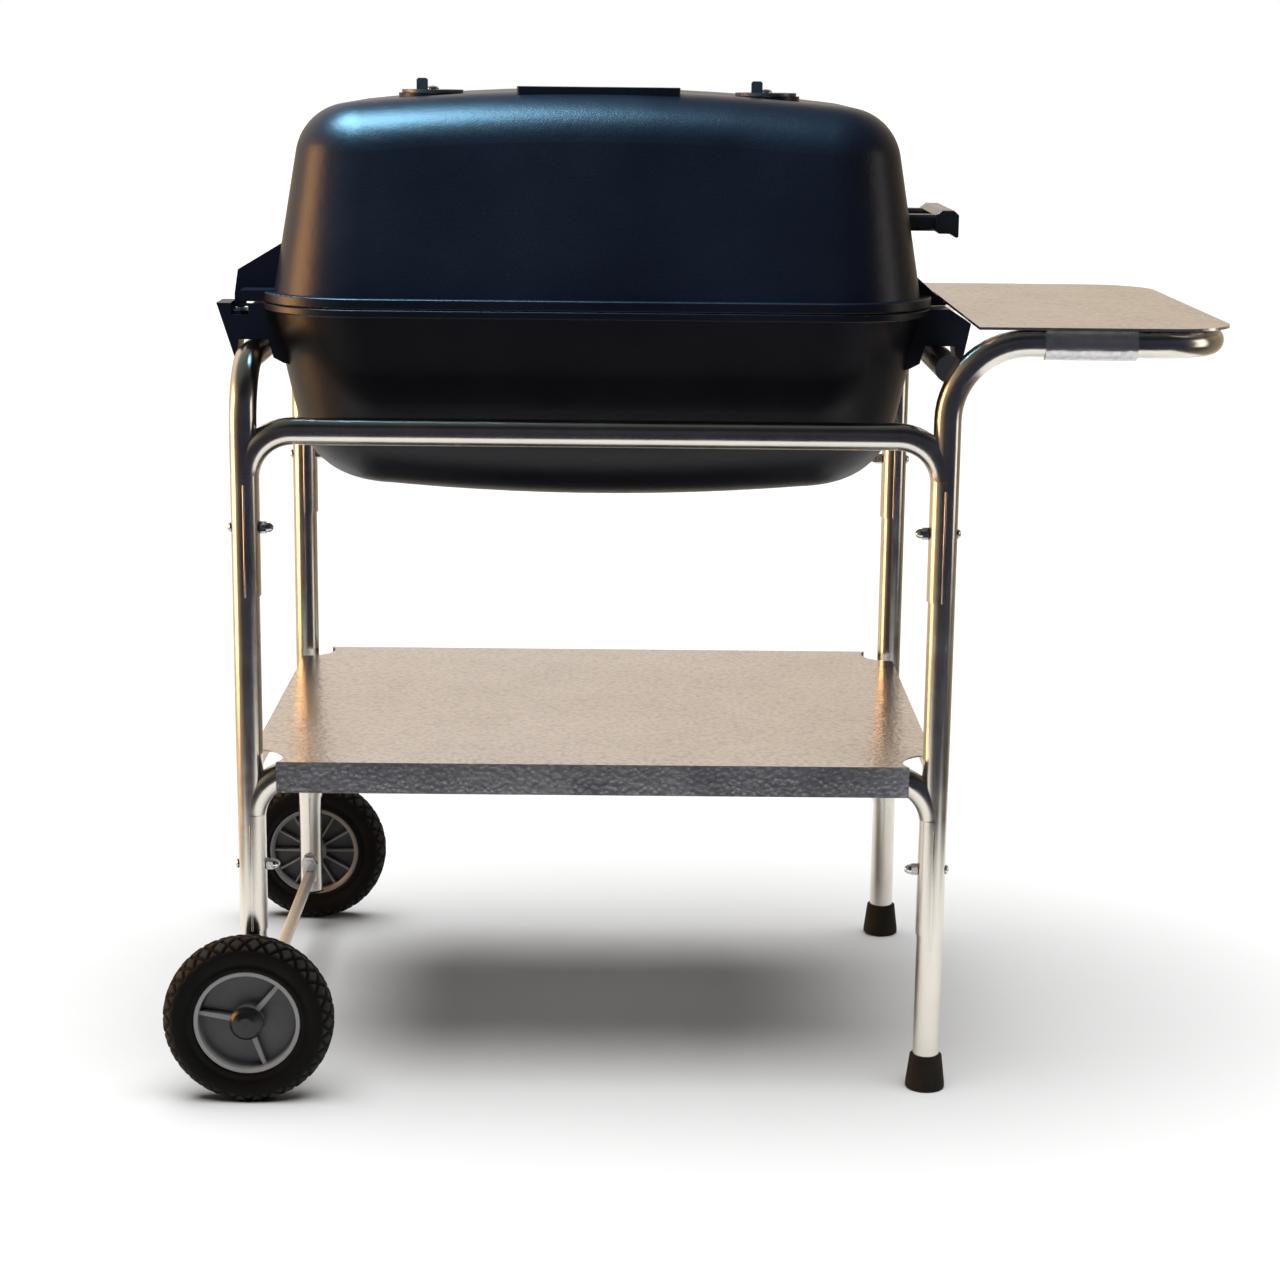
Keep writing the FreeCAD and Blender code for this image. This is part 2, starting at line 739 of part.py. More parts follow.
def make_hub_cap(label, side):
    """Domed cap pressed over the axle bolt's head."""
    body = new_body(label)
    width = size("wheel_width")
    rim_face = width - 3
    radius = 16
    inner = 10.8
    profile = [
        (inner, rim_face),
        (radius, rim_face),
        (radius, rim_face + 3.5),
        (radius - 3, rim_face + 6.5),
        (radius - 9, rim_face + 8.2),
        (0, rim_face + 8.6),
        (0, rim_face + 6.8),
        (inner, rim_face + 5.6),
    ]
    revolve_body(body, "profile", profile)
    body.Placement = wheel_placement(side)
    return body


def make_axle_bolts():
    """Shoulder bolts through the left legs, one per wheel, with a thin head under the hub cap."""
    radius = size("axle_diameter") / 2
    head_radius = 9
    head_seat = WHEEL_INNER_Y + size("wheel_width") - 2.7
    inner_end = LEG_Y - TUBE_RADIUS - 10
    bolts = []
    for side in SIDES.values():
        outward = Vector(0, side, 0)
        centre = Vector(LEFT_X, 0, WHEEL_RADIUS)
        shank = cylinder(radius, head_seat - inner_end, centre + outward * inner_end, outward)
        head = cylinder(head_radius, 4, centre + outward * head_seat, outward)
        bolts.append(shank.fuse(head))
    return add_group("axle_bolts", bolts)


def make_axle_nuts():
    """Hex nuts on the inner ends of the axle bolts, clamping the strut's tabs."""
    radius = size("axle_diameter") / 2
    thickness = 7
    seat = LEG_Y - TUBE_RADIUS - 2.5
    nuts = []
    for side in SIDES.values():
        inward = Vector(0, -side, 0)
        start = Vector(LEFT_X, side * seat, WHEEL_RADIUS)
        nut = hexagon_prism(16, thickness, start, inward)
        nuts.append(nut.cut(cylinder(radius, thickness, start, inward)))
    return add_group("axle_nuts", nuts)


def make_axle_spacers():
    """Tubes on the axle bolts between each leg and its wheel."""
    radius = size("axle_diameter") / 2
    start_y = LEG_Y + TUBE_RADIUS
    spacers = []
    for side in SIDES.values():
        start = Vector(LEFT_X, side * start_y, WHEEL_RADIUS)
        spacers.append(ring(radius + 3, radius, size("wheel_gap"), start, Vector(0, side, 0)))
    return add_group("axle_spacers", spacers)


def make_leg_strut():
    """Round tube low between the left legs, with flat upright tabs on the axle bolts."""
    radius = 6.5
    drop = 15
    tab_thickness = 2.5
    tab_face = LEG_Y - TUBE_RADIUS
    tube_z = WHEEL_RADIUS - drop
    tube_end = tab_face - tab_thickness
    tube = ring(radius, radius - 1.5, 2 * tube_end, Vector(0, -tube_end, tube_z), Y_AXIS)
    for side in SIDES.values():
        inner_face = side * (tab_face - tab_thickness)
        tab_points = [
            (-7, tube_z - 7),
            (7, tube_z - 7),
            (9, WHEEL_RADIUS),
            (6, WHEEL_RADIUS + 9),
            (-6, WHEEL_RADIUS + 9),
            (-9, WHEEL_RADIUS),
        ]
        tab = extrude_outline(tab_points, inner_face, side * tab_face)
        hole_start = Vector(0, side * (tab_face - 2 * tab_thickness), WHEEL_RADIUS)
        hole = cylinder(size("axle_diameter") / 2, 4 * tab_thickness, hole_start, Vector(0, side, 0))
        tube = tube.fuse(tab).cut(hole)
    relief_radius = 10.5
    relief_depth = 8
    for side in SIDES.values():
        start = Vector(0, side * (tube_end - relief_depth), WHEEL_RADIUS)
        tube = tube.cut(cylinder(relief_radius, relief_depth, start, Vector(0, side, 0)))
    return add_feature("leg_strut", tube, Vector(LEFT_X, 0, 0))


def make_foot(label, side):
    """Tapered rubber ferrule on a right leg."""
    body = new_body(label)
    base = size("foot_diameter") / 2
    top = size("foot_top_diameter") / 2
    height = size("foot_height")
    seat = size("foot_seat_height")
    profile = [
        (0, 0),
        (base - 1.5, 0),
        (base, 1.5),
        (base, 5),
        (top, height - 1),
        (top - 1, height),
        (TUBE_RADIUS, height),
        (TUBE_RADIUS, seat),
        (0, seat),
    ]
    revolve_body(body, "profile", profile)
    body.Placement = Placement(Vector(RIGHT_X, side * LEG_Y, 0), Rotation())
    return body


PLUG_DEPTH = 14


def make_leg_plugs():
    """Plastic plugs that close the lower ends of the left legs."""
    end = size("left_leg_end")
    flange = 2.5
    plugs = []
    for side in SIDES.values():
        base = Vector(LEFT_X, side * LEG_Y, end - flange)
        stem = cylinder(BORE_RADIUS, PLUG_DEPTH + flange, base)
        plugs.append(cylinder(TUBE_RADIUS, flange, base).fuse(stem))
    return add_group("leg_plugs", plugs)


# ---------------------------------------------------------------------------------------------
# Cooking vessel: castings
# ---------------------------------------------------------------------------------------------

# Each half is a tapered rounded box, closed by a gently crowned roof or floor.
LID_SHAPE = {
    "up": 1,
    "start": RIM_Z + 0.3,
    "half_x": 309,
    "half_y": 214,
    "corner": 90,
    "taper": 0.17,
    "corner_taper": 0.15,
    "peak": RIM_Z + size("lid_rise"),
    "edge_radius": 54,
}
FIREBOX_SHAPE = {
    "up": -1,
    "start": RIM_Z,
    "half_x": 311,
    "half_y": 215,
    "corner": 92,
    "taper": 0.2,
    "corner_taper": 0.05,
    "peak": RIM_Z - size("firebox_fall"),
    "edge_radius": 76,
}
CROWN_RADIUS = 2200
# every edge of a half's crowned end lies within this distance of its highest or lowest point
CROWN_DEPTH = 40
DAMPER_HALF_PITCH = size("damper_pitch") / 2
HANDLE_Z = RIM_Z + 75
HANDLE_ARM_WIDTH = 17
SCREW_RADIUS = 2.5
VENT_HOLE_RADIUS = 7
VENT_CIRCLE_RADIUS = 17
VENT_COUNT = 3
PIVOT_RADIUS = 3


def make_vessel_half(label, shape, inset):
    """Tapered rounded box from the rim to a crowned end, its long edges rounded, moved in by inset."""
    body = new_body(label)
    up = shape["up"]
    start = shape["start"]
    reach = abs(shape["peak"] - start) + 12
    half_x = shape["half_x"] - inset
    half_y = shape["half_y"] - inset
    corner = shape["corner"] - inset
    narrowing = reach * shape["taper"]
    rim = new_sketch(body, "rim", "XY_Plane", start)
    sketch_edges(rim, rounded_rectangle(half_x, half_y, corner))
    end = new_sketch(body, "end", "XY_Plane", start + up * reach)
    end_corner = corner - reach * shape["corner_taper"]
    sketch_edges(end, rounded_rectangle(half_x - narrowing, half_y - narrowing, end_corner))
    loft = body.newObject("PartDesign::AdditiveLoft", f"{label}_loft")
    loft.Profile = rim
    loft.Sections = [end]
    loft.Ruled = True

    peak = shape["peak"] - up * inset
    crown = new_sketch(body, "crown", "XZ_Plane")
    wide = half_x + 20
    edge = peak - up * (CROWN_RADIUS - math.sqrt(CROWN_RADIUS**2 - wide**2))
    beyond = peak + up * 60
    crown_arc = Part.Arc(Vector(-wide, edge, 0), Vector(0, peak, 0), Vector(wide, edge, 0))
    crown.addGeometry(crown_arc)
    outside = [
        Vector(-wide, edge, 0),
        Vector(-wide, beyond, 0),
        Vector(wide, beyond, 0),
        Vector(wide, edge, 0),
    ]
    for first, second in zip(outside, outside[1:]):
        crown.addGeometry(Part.LineSegment(first, second))
    crowned = cut_through(body, crown, f"{label}_crown_pocket")
    DOC.recompute()

    names = []
    for index, item in enumerate(crowned.Shape.Edges, start=1):
        middle = item.valueAt((item.FirstParameter + item.LastParameter) / 2)
        heights = [vertex.Z for vertex in item.Vertexes] + [middle.z]
        if all(abs(height - peak) < CROWN_DEPTH for height in heights):
            names.append(f"Edge{index}")
    fillet = body.newObject("PartDesign::Fillet", f"{label}_fillet")
    fillet.Base = (crowned, names)
    fillet.Radius = shape["edge_radius"] - inset
    body.Tip = fillet
    DOC.recompute()
    return body


def rim_flange(bottom, thickness):
    """The flat band round the rim of one half."""
    half_x = size("rim_length") / 2
    half_y = size("rim_depth") / 2
    wire = rounded_rectangle(half_x, half_y, size("rim_corner") + 20)
    flange = Part.Face(wire).extrude(Vector(0, 0, thickness))
    flange.translate(Vector(MIDDLE_X, 0, bottom))
    middle = bottom + thickness / 2
    round_over = 1.5
    edges = [edge for edge in flange.Edges if abs(edge.CenterOfMass.z - middle) > thickness / 3]
    return flange.makeFillet(round_over, edges)


HINGE_X = MIDDLE_X - size("hinge_offset")
HINGE_Z = RIM_Z + size("hinge_lift")
BRACKET_WIDTH = 42
LUG_THICKNESS = 10
LID_FLANGE = 9.7
FIREBOX_FLANGE = 7.5
RAIL_TOP = size("left_rail_height") + TUBE_RADIUS


def mirror_in_y(shape):
    """The same piece on the other side of the XZ plane."""
    return shape.mirror(Vector(0, 0, 0), Y_AXIS)


def bracket_range():
    """Y of a front bracket's near and far face."""
    near = -size("hinge_pitch") / 2 - BRACKET_WIDTH / 2
    return near, near + BRACKET_WIDTH


def lug_range():
    """Y of a front lid lug's near and far face, at the inner side of its bracket."""
    far = bracket_range()[1] - 1
    return far - LUG_THICKNESS, far


def rail_hook(outer_top, ear_outer, side):
    """Outline of a bracket that hooks over a rail: X from the vessel's middle, Z from the rim."""
    rail_x = size("leg_pitch_x") / 2
    notch_top = RAIL_TOP - RIM_Z
    foot_z = notch_top - 18
    points = [
        (280, -2),
        *outer_top,
        ear_outer,
        (rail_x + 16.8, foot_z),
        (rail_x + 14, notch_top),
        (rail_x - 14, notch_top),
        (rail_x - 18.5, foot_z + 1),
        (rail_x - 28, foot_z - 4),
        (280, foot_z - 8),
    ]
    return [(MIDDLE_X + side * x, RIM_Z + z) for x, z in points]


def box_from_hinge(low_x, high_x, low_z, high_z, near, far):
    """A box given in X from the hinge line and in Z from the rim, between two Y faces."""
    corner = Vector(HINGE_X + low_x, near, RIM_Z + low_z)
    return Part.makeBox(high_x - low_x, far - near, high_z - low_z, corner)


def make_firebox_brackets():
    """Left: hook with an open hinge slot. Right: hook with a sloping back."""
    near, far = bracket_range()
    hinge_offset = size("hinge_offset")
    left_outline = rail_hook([(hinge_offset + 18.5, -1)], (hinge_offset + 2, -53), -1)
    left = extrude_outline(left_outline, near, far)
    front_plate = 4
    plate_front = near - 1
    plate_back = near + front_plate + 1
    swing_space = box_from_hinge(-5.8, 15, -8.7, 21.3, near + front_plate, far + 1)
    slot = box_from_hinge(-4.6, 4.5, -12, 5, plate_front, plate_back)
    window = box_from_hinge(5, 11.5, -12, -4, plate_front, plate_back)
    left = left.cut(swing_space).cut(slot).cut(window)
    right_outline = rail_hook([(333, -0.5), (354, -14)], (348, -44), 1)
    right = extrude_outline(right_outline, near, far)
    return [left, mirror_in_y(left), right, mirror_in_y(right)]


COOKING_GRATE_Z = RIM_Z - 16
CHARCOAL_GRATE_Z = RIM_Z - 136
GRATE_WIRE_RADIUS = 3
CHARCOAL_GRATE_HALF_Y = 150


def make_grate_rests():
    """Cast ledges under the cooking grate's frame and posts under the charcoal grate's runners."""
    ledge_length = 23
    ledge_width = 40
    ledge_height = 8
    ledge_reach = 306
    ledge_y = 90
    post_radius = 7
    post_x = 200
    post_base_z = RIM_Z - size("firebox_fall") + 4
    ledge_top = COOKING_GRATE_Z - GRATE_WIRE_RADIUS
    post_top = CHARCOAL_GRATE_Z - GRATE_WIRE_RADIUS
    rests = []
    for side_x in (-1, 1):
        for side_y in (-1, 1):
            middle_x = MIDDLE_X + side_x * (ledge_reach - ledge_length / 2)
            corner = Vector(
                middle_x - ledge_length / 2,
                side_y * ledge_y - ledge_width / 2,
                ledge_top - ledge_height,
            )
            rests.append(Part.makeBox(ledge_length, ledge_width, ledge_height, corner))
            post_y = side_y * CHARCOAL_GRATE_HALF_Y / 2
            post_base = Vector(MIDDLE_X + side_x * post_x, post_y, post_base_z)
            rests.append(cylinder(post_radius, post_top - post_base_z, post_base))
    return rests


def vent_holes(centres):
    """The openings of a half's vents: three round holes and a pivot hole about each centre."""
    depth = 20
    holes = []
    for centre in centres:
        start = centre - Vector(0, 0, depth)
        holes.append(cylinder(PIVOT_RADIUS + 0.3, 2 * depth, start))
        for index in range(VENT_COUNT):
            turn = Rotation(Z_AXIS, 90 + 360 / VENT_COUNT * index)
            offset = turn.multVec(Vector(VENT_CIRCLE_RADIUS, 0, 0))
            holes.append(cylinder(VENT_HOLE_RADIUS, 2 * depth, start + offset))
    return holes


def screw_starts():
    """Inner end of each handle screw, inside the lid's end wall."""
    rise = HANDLE_Z - LID_SHAPE["start"]
    inner_wall_x = LID_SHAPE["half_x"] - LID_SHAPE["taper"] * rise - size("wall_thickness")
    head_space = 4.5
    start_x = MIDDLE_X + inner_wall_x - head_space
    return [Vector(start_x, side * handle_arm_y(), HANDLE_Z) for side in (-1, 1)]


def handle_arm_y():
    """Distance of each handle arm's middle from the XZ plane."""
    return size("handle_length") / 2 - HANDLE_ARM_WIDTH


def top_damper_centre(side):
    """Pivot point of a lid damper on the flat top of its boss."""
    peak = RIM_Z + size("lid_rise")
    return Vector(MIDDLE_X + side * DAMPER_HALF_PITCH, -size("damper_setback"), peak - 3.6)


def bottom_damper_centre(side):
    """Pivot point of a firebox damper on the flat underside of its boss."""
    floor = RIM_Z - size("firebox_fall")
    return Vector(MIDDLE_X + side * DAMPER_HALF_PITCH, 0, floor - 0.5)


def make_shell(label, shape, flange, extras, bores):
    """One casting: outer form, flange, lugs and bosses together, hollowed, then the bores cut."""
    outer = make_vessel_half(f"{label}_outer", shape, 0)
    core = make_vessel_half(f"{label}_core", shape, size("wall_thickness"))
    for body in (outer, core):
        body.Placement = Placement(Vector(MIDDLE_X, 0, 0), Rotation())
    DOC.recompute()
    additions = add_group(f"{label}_additions", [flange.multiFuse(extras)])
    solid = DOC.addObject("Part::Fuse", f"{label}_solid")
    solid.Base = outer
    solid.Tool = additions
    hollow = DOC.addObject("Part::Cut", f"{label}_hollow")
    hollow.Base = solid
    hollow.Tool = core
    shell = DOC.addObject("Part::Cut", label)
    shell.Base = hollow
    shell.Tool = add_group(f"{label}_bores", bores)
    shell.Label = label
    return shell


def make_lid_lugs():
    """Left: web with a ledge and a tongue that turns in the firebox slot. Right: small gusset."""
    near, far = bracket_range()
    lug_near, lug_far = lug_range()
    web_points = [
        (-290, 60),
        (-303, 52),
        (-343, 28),
        (-346.5, 5),
        (-346.5, -6),
        (-344, -8),
        (-338, -8),
        (-336.5, -6),
        (-336.5, 1),
        (-290, 1),
    ]
    ledge_points = [(-290, 0.6), (-337, 0.6), (-337, 11), (-290, 11)]
    gusset_points = [(290, 40), (305, 27), (333, 2), (333, 0.6), (290, 0.6)]
    web = extrude_outline(from_rim_middle(web_points), lug_near, lug_far)
    ledge = extrude_outline(from_rim_middle(ledge_points), near, far)
    gusset = extrude_outline(from_rim_middle(gusset_points), lug_near, lug_far)
    front = [web.fuse(ledge), gusset]
    return front + [mirror_in_y(piece) for piece in front]


def from_rim_middle(points):
    """Outline points given in X from the vessel's middle and in Z from the rim."""
    return [(MIDDLE_X + x, RIM_Z + z) for x, z in points]


def vent_bosses(centres, direction):
    """Round pads that thicken a half where its dampers turn, inward from each centre."""
    boss_radius = size("damper_diameter") / 2 + 3
    boss_height = 12
    return [cylinder(boss_radius, boss_height, centre, direction) for centre in centres]


def make_lid_shell():
    """Upper casting with its flange, lugs, two vent bosses and the handle's screw holes."""
    centres = [top_damper_centre(side) for side in (-1, 1)]
    extras = make_lid_lugs() + vent_bosses(centres, -Z_AXIS)
    screw_holes = [cylinder(SCREW_RADIUS + 0.3, 30, start, X_AXIS) for start in screw_starts()]
    flange = rim_flange(LID_SHAPE["start"], LID_FLANGE)
    return make_shell("lid_shell", LID_SHAPE, flange, extras, vent_holes(centres) + screw_holes)


def make_firebox_shell():
    """Lower casting with its flange, brackets, grate rests and two vent bosses."""
    centres = [bottom_damper_centre(side) for side in (-1, 1)]
    extras = make_firebox_brackets() + vent_bosses(centres, Z_AXIS)
    flange = rim_flange(RIM_Z - FIREBOX_FLANGE, FIREBOX_FLANGE)
    shell = make_shell("firebox_casting", FIREBOX_SHAPE, flange, extras, vent_holes(centres))
    DOC.recompute()
    firebox = DOC.addObject("Part::Fuse", "firebox_shell")
    firebox.Base = shell
    firebox.Tool = add_group("grate_rests", make_grate_rests())
    firebox.Label = "firebox_shell"
    return firebox


# ---------------------------------------------------------------------------------------------
# Cooking vessel: grates, dampers, handle and badge
# ---------------------------------------------------------------------------------------------


def make_grate(label, half_x, half_y, corner, height, pitch):
    """Welded wire grate: a rounded frame, two long runners and cross wires on top of them."""
    frame_path = rounded_rectangle(half_x, half_y, corner)
    first = frame_path.Edges[0]
    tangent = first.tangentAt(first.FirstParameter)
    circle = Part.makeCircle(GRATE_WIRE_RADIUS, first.Vertexes[0].Point, tangent)
    frame = frame_path.makePipeShell([Part.Wire(circle)], True, False)
    pieces = []
    for y in (-half_y / 2, half_y / 2):
        pieces.append(cylinder(GRATE_WIRE_RADIUS, 2 * half_x, Vector(-half_x, y, 0), X_AXIS))
    frame_margin = 8
    count = int((half_x - frame_margin) / pitch)
    rod_radius = 0.8 * GRATE_WIRE_RADIUS
    for index in range(-count, count + 1):
        x = index * pitch
        reach = half_y
        over_corner = abs(x) - (half_x - corner)
        if over_corner > 0:
            reach = half_y - corner + math.sqrt(corner**2 - over_corner**2)
        pieces.append(cylinder(rod_radius, 2 * reach, Vector(x, -reach, GRATE_WIRE_RADIUS), Y_AXIS))
    return add_feature(label, frame.multiFuse(pieces), Vector(MIDDLE_X, 0, height))


DAMPER_THICKNESS = 2.8
DAMPER_GAP = 0.3
DAMPER_NUT_SEAT = 14


def make_damper(label, centre, facing):
    """Round plate with three ports and an upright finger tab; local +Z points away from the vessel."""
    body = new_body(label)
    thickness = DAMPER_THICKNESS
    plate = new_sketch(body, "plate", "XY_Plane")
    sketch_circle(plate, (0, 0), size("damper_diameter") / 2, "damper_diameter", 0.5)
    sketch_circle(plate, (0, 0), PIVOT_RADIUS + 0.06)
    pad = body.newObject("PartDesign::Pad", f"{label}_plate_pad")
    pad.Profile = plate
    pad.Length = thickness
    port = new_sketch(body, "port", "XY_Plane", thickness + 1)
    turn = Rotation(Z_AXIS, 90 + 180 / VENT_COUNT)
    port_centre = turn.multVec(Vector(VENT_CIRCLE_RADIUS, 0, 0))
    sketch_circle(port, (port_centre.x, port_centre.y), VENT_HOLE_RADIUS)
    pocket = body.newObject("PartDesign::Pocket", f"{label}_port")
    pocket.Profile = port
    pocket.Length = thickness + 2
    DOC.recompute()
    pattern_about_axis(body, pocket, VENT_COUNT)
    tab = new_sketch(body, "tab", "XZ_Plane", 12)
    tab_x = -9
    tab_half = 5.3
    tab_top = 13.6
    tab_bevel = 1.6
    tab_outline = [
        (tab_x - tab_half, 1),
        (tab_x + tab_half, 1),
        (tab_x + tab_half, tab_top - tab_bevel),
        (tab_x + tab_half - tab_bevel, tab_top),
        (tab_x - tab_half + tab_bevel, tab_top),
        (tab_x - tab_half, tab_top - tab_bevel),
    ]
    sketch_lines(tab, tab_outline)
    tab_pad = body.newObject("PartDesign::Pad", f"{label}_tab_pad")
    tab_pad.Profile = tab
    tab_pad.Length = 3
    tab_pad.Midplane = True
    flip = Rotation(X_AXIS, 0 if facing > 0 else 180)
    body.Placement = Placement(centre + Vector(0, 0, facing * DAMPER_GAP), flip)
    return body


def make_damper_bolts(label, centres, facing):
    """Dome-headed pivot bolts through the dampers and their bosses."""
    head_radius = 6
    head_height = 3.4
    head_seat = DAMPER_THICKNESS + 2 * DAMPER_GAP
    inner_length = 24
    outward = Vector(0, 0, facing)
    bolts = []
    for centre in centres:
        seat = centre + outward * head_seat
        head = dome_head(head_radius, head_height, seat, outward)
        bolts.append(head.fuse(cylinder(PIVOT_RADIUS, head_seat + inner_length, seat, -outward)))
    return add_group(label, bolts)


def make_damper_nuts(label, centres, facing):
    """A hex nut on the inner end of each pivot bolt, against its spring."""
    across_flats = 10
    thickness = 5
    inward = Vector(0, 0, -facing)
    nuts = []
    for centre in centres:
        seat = centre + inward * DAMPER_NUT_SEAT
        nut = hexagon_prism(across_flats, thickness, seat, inward)
        nuts.append(nut.cut(cylinder(PIVOT_RADIUS, thickness, seat, inward)))
    return add_group(label, nuts)


def make_damper_springs(label, centres, facing, wall):
    """Springs on the pivot bolts, between the inside of the casting and the nut."""
    outer_radius = 5
    inner_radius = PIVOT_RADIUS + 0.5
    inward = Vector(0, 0, -facing)
    springs = []
    for centre in centres:
        start = centre + inward * wall
        springs.append(ring(outer_radius, inner_radius, DAMPER_NUT_SEAT - wall, start, inward))
    return add_group(label, springs)


def make_badge_pad():
    """Plain raised pad on the front of the lid's roof."""
    half_length = 76
    half_width = 17
    top = RIM_Z + size("lid_rise") + 3.8
    depth = 10
    setback = 135
    corner = Vector(MIDDLE_X - half_length, -setback - half_width, top - depth)
    pad = Part.makeBox(2 * half_length, 2 * half_width, depth, corner)
    pad = pad.makeFillet(3, [edge for edge in pad.Edges if edge.Length < depth + 0.5])
    pad = pad.cut(DOC.getObject("lid_shell_outer").Shape)
    return add_feature("badge_pad", pad)


def make_lid_handle(screws):
    """Pull of two arms and a flared grip bar along Y, fitted to the sloping end wall of the lid."""
    grip_inner = 326
    grip_outer = grip_inner + 23
    arm_length = 60
    arm_height = 16
    foot_length = 22
    foot_side = 30
    length = size("handle_length")
    grip_outline = [
        (grip_inner, -7),
        (grip_inner + 4, -10),
        (grip_outer - 8, -10),
        (grip_outer - 3, -13.5),
        (grip_outer, -13.5),
        (grip_outer, 8),
        (grip_outer - 5, 12.5),
        (grip_inner + 6, 12.5),
        (grip_inner, 8),
    ]
    grip = extrude_outline(grip_outline, -length / 2, length / 2)
    grip = grip.makeFillet(1.3, grip.Edges)
    arms = []
    for side in (-1, 1):
        y = side * handle_arm_y()
        arm_corner = Vector(grip_inner + 4 - arm_length, y - HANDLE_ARM_WIDTH / 2, -arm_height / 2)
        arm = Part.makeBox(arm_length, HANDLE_ARM_WIDTH, arm_height, arm_corner)
        arm = arm.makeFillet(4, [edge for edge in arm.Edges if edge.Length > arm_length - 1])
        foot_corner = Vector(grip_inner - 50, y - foot_side / 2, -foot_side / 2)
        arms += [arm, Part.makeBox(foot_length, foot_side, foot_side, foot_corner)]
    handle = grip.multiFuse(arms)
    handle.translate(Vector(MIDDLE_X, 0, HANDLE_Z))
    handle = handle.cut(DOC.getObject("lid_shell_outer").Shape).cut(screws.Shape)
    solids = sorted(handle.Solids, key=lambda solid: solid.Volume)
    return add_feature("lid_handle", solids[-1])


def make_handle_screws():
    """Pan-headed screws from inside the lid into the handle's arms."""
    head_radius = 5
    head_height = 3
    length = 22
    screws = []
    for start in screw_starts():
        head = cylinder(head_radius, head_height, start, X_AXIS)
        screws.append(head.fuse(cylinder(SCREW_RADIUS, length, start, X_AXIS)))
    return add_group("handle_screws", screws)


# ---------------------------------------------------------------------------------------------
# Build, check and export
# ---------------------------------------------------------------------------------------------


def make_cart():
    """Every sub-part of the cart."""
    pieces = [make_left_leg_frame(), make_right_leg_frame(), make_right_cross_rail()]
    for name, side in SIDES.items():
        pieces += [
            make_brace(f"upper_brace_{name}", side, size("upper_brace_height")),
            make_brace(f"lower_brace_{name}", side, LOWER_BRACE_HEIGHT),
            make_wheel_rim(f"wheel_rim_{name}", side),
            make_tyre(f"tyre_{name}", side),
            make_hub_cap(f"hub_cap_{name}", side),
            make_foot(f"foot_{name}", side),
        ]
    pieces += [
        make_brace_bolts(),
        make_brace_nuts(),
        make_lower_tray(),
        make_side_shelf(),
        make_axle_bolts(),
        make_axle_nuts(),
        make_axle_spacers(),
        make_leg_strut(),
        make_leg_plugs(),
    ]
    return pieces


def make_vessel():
    """Every sub-part of the cooking vessel."""
    pieces = [make_lid_shell(), make_firebox_shell()]
    DOC.recompute()
    screws = make_handle_screws()
    pieces += [
        make_grate("cooking_grate", 293, 198, 76, COOKING_GRATE_Z, 14),
        make_grate("charcoal_grate", 236, CHARCOAL_GRATE_HALF_Y, 40, CHARCOAL_GRATE_Z, 16),
        make_badge_pad(),
        make_lid_handle(screws),
        screws,
    ]
    vents = {"top": (top_damper_centre, 1, 7.7), "bottom": (bottom_damper_centre, -1, 11.7)}
    for place, (centre_of, facing, wall) in vents.items():
        centres = [centre_of(-1), centre_of(1)]
        pieces += [
            make_damper(f"{place}_damper_left", centres[0], facing),
            make_damper(f"{place}_damper_right", centres[1], facing),
            make_damper_bolts(f"{place}_damper_bolts", centres, facing),
            make_damper_springs(f"{place}_damper_springs", centres, facing, wall),
            make_damper_nuts(f"{place}_damper_nuts", centres, facing),
        ]
    return pieces


def check_document(pieces):
    """Stop before anything is written if an object failed or a shape is unsound."""
    for item in DOC.Objects:
        if "Invalid" in item.State or "Error" in item.State:
            raise RuntimeError(f"{item.Name} failed: {item.State}")
    for piece in pieces:
        if piece.Shape.isNull() or not piece.Shape.isValid():
            raise RuntimeError(f"{piece.Label} has no sound shape")


def export_parts(pieces):
    """Write one STEP file for each sub-part, named by its label."""
    os.makedirs("parts", exist_ok=True)
    for piece in pieces:
        piece.Shape.exportStep(f"parts/{piece.Label}.step")
        print(f"{piece.Label}: {len(piece.Shape.Solids)} solid(s), {piece.Shape.Volume / 1000:.1f} cm3")


ALL_PIECES = make_cart() + make_vessel()
DOC.recompute()
check_document(ALL_PIECES)
export_parts(ALL_PIECES)
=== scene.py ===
import json
import math

import bmesh
import bpy
from mathutils import Matrix, Vector

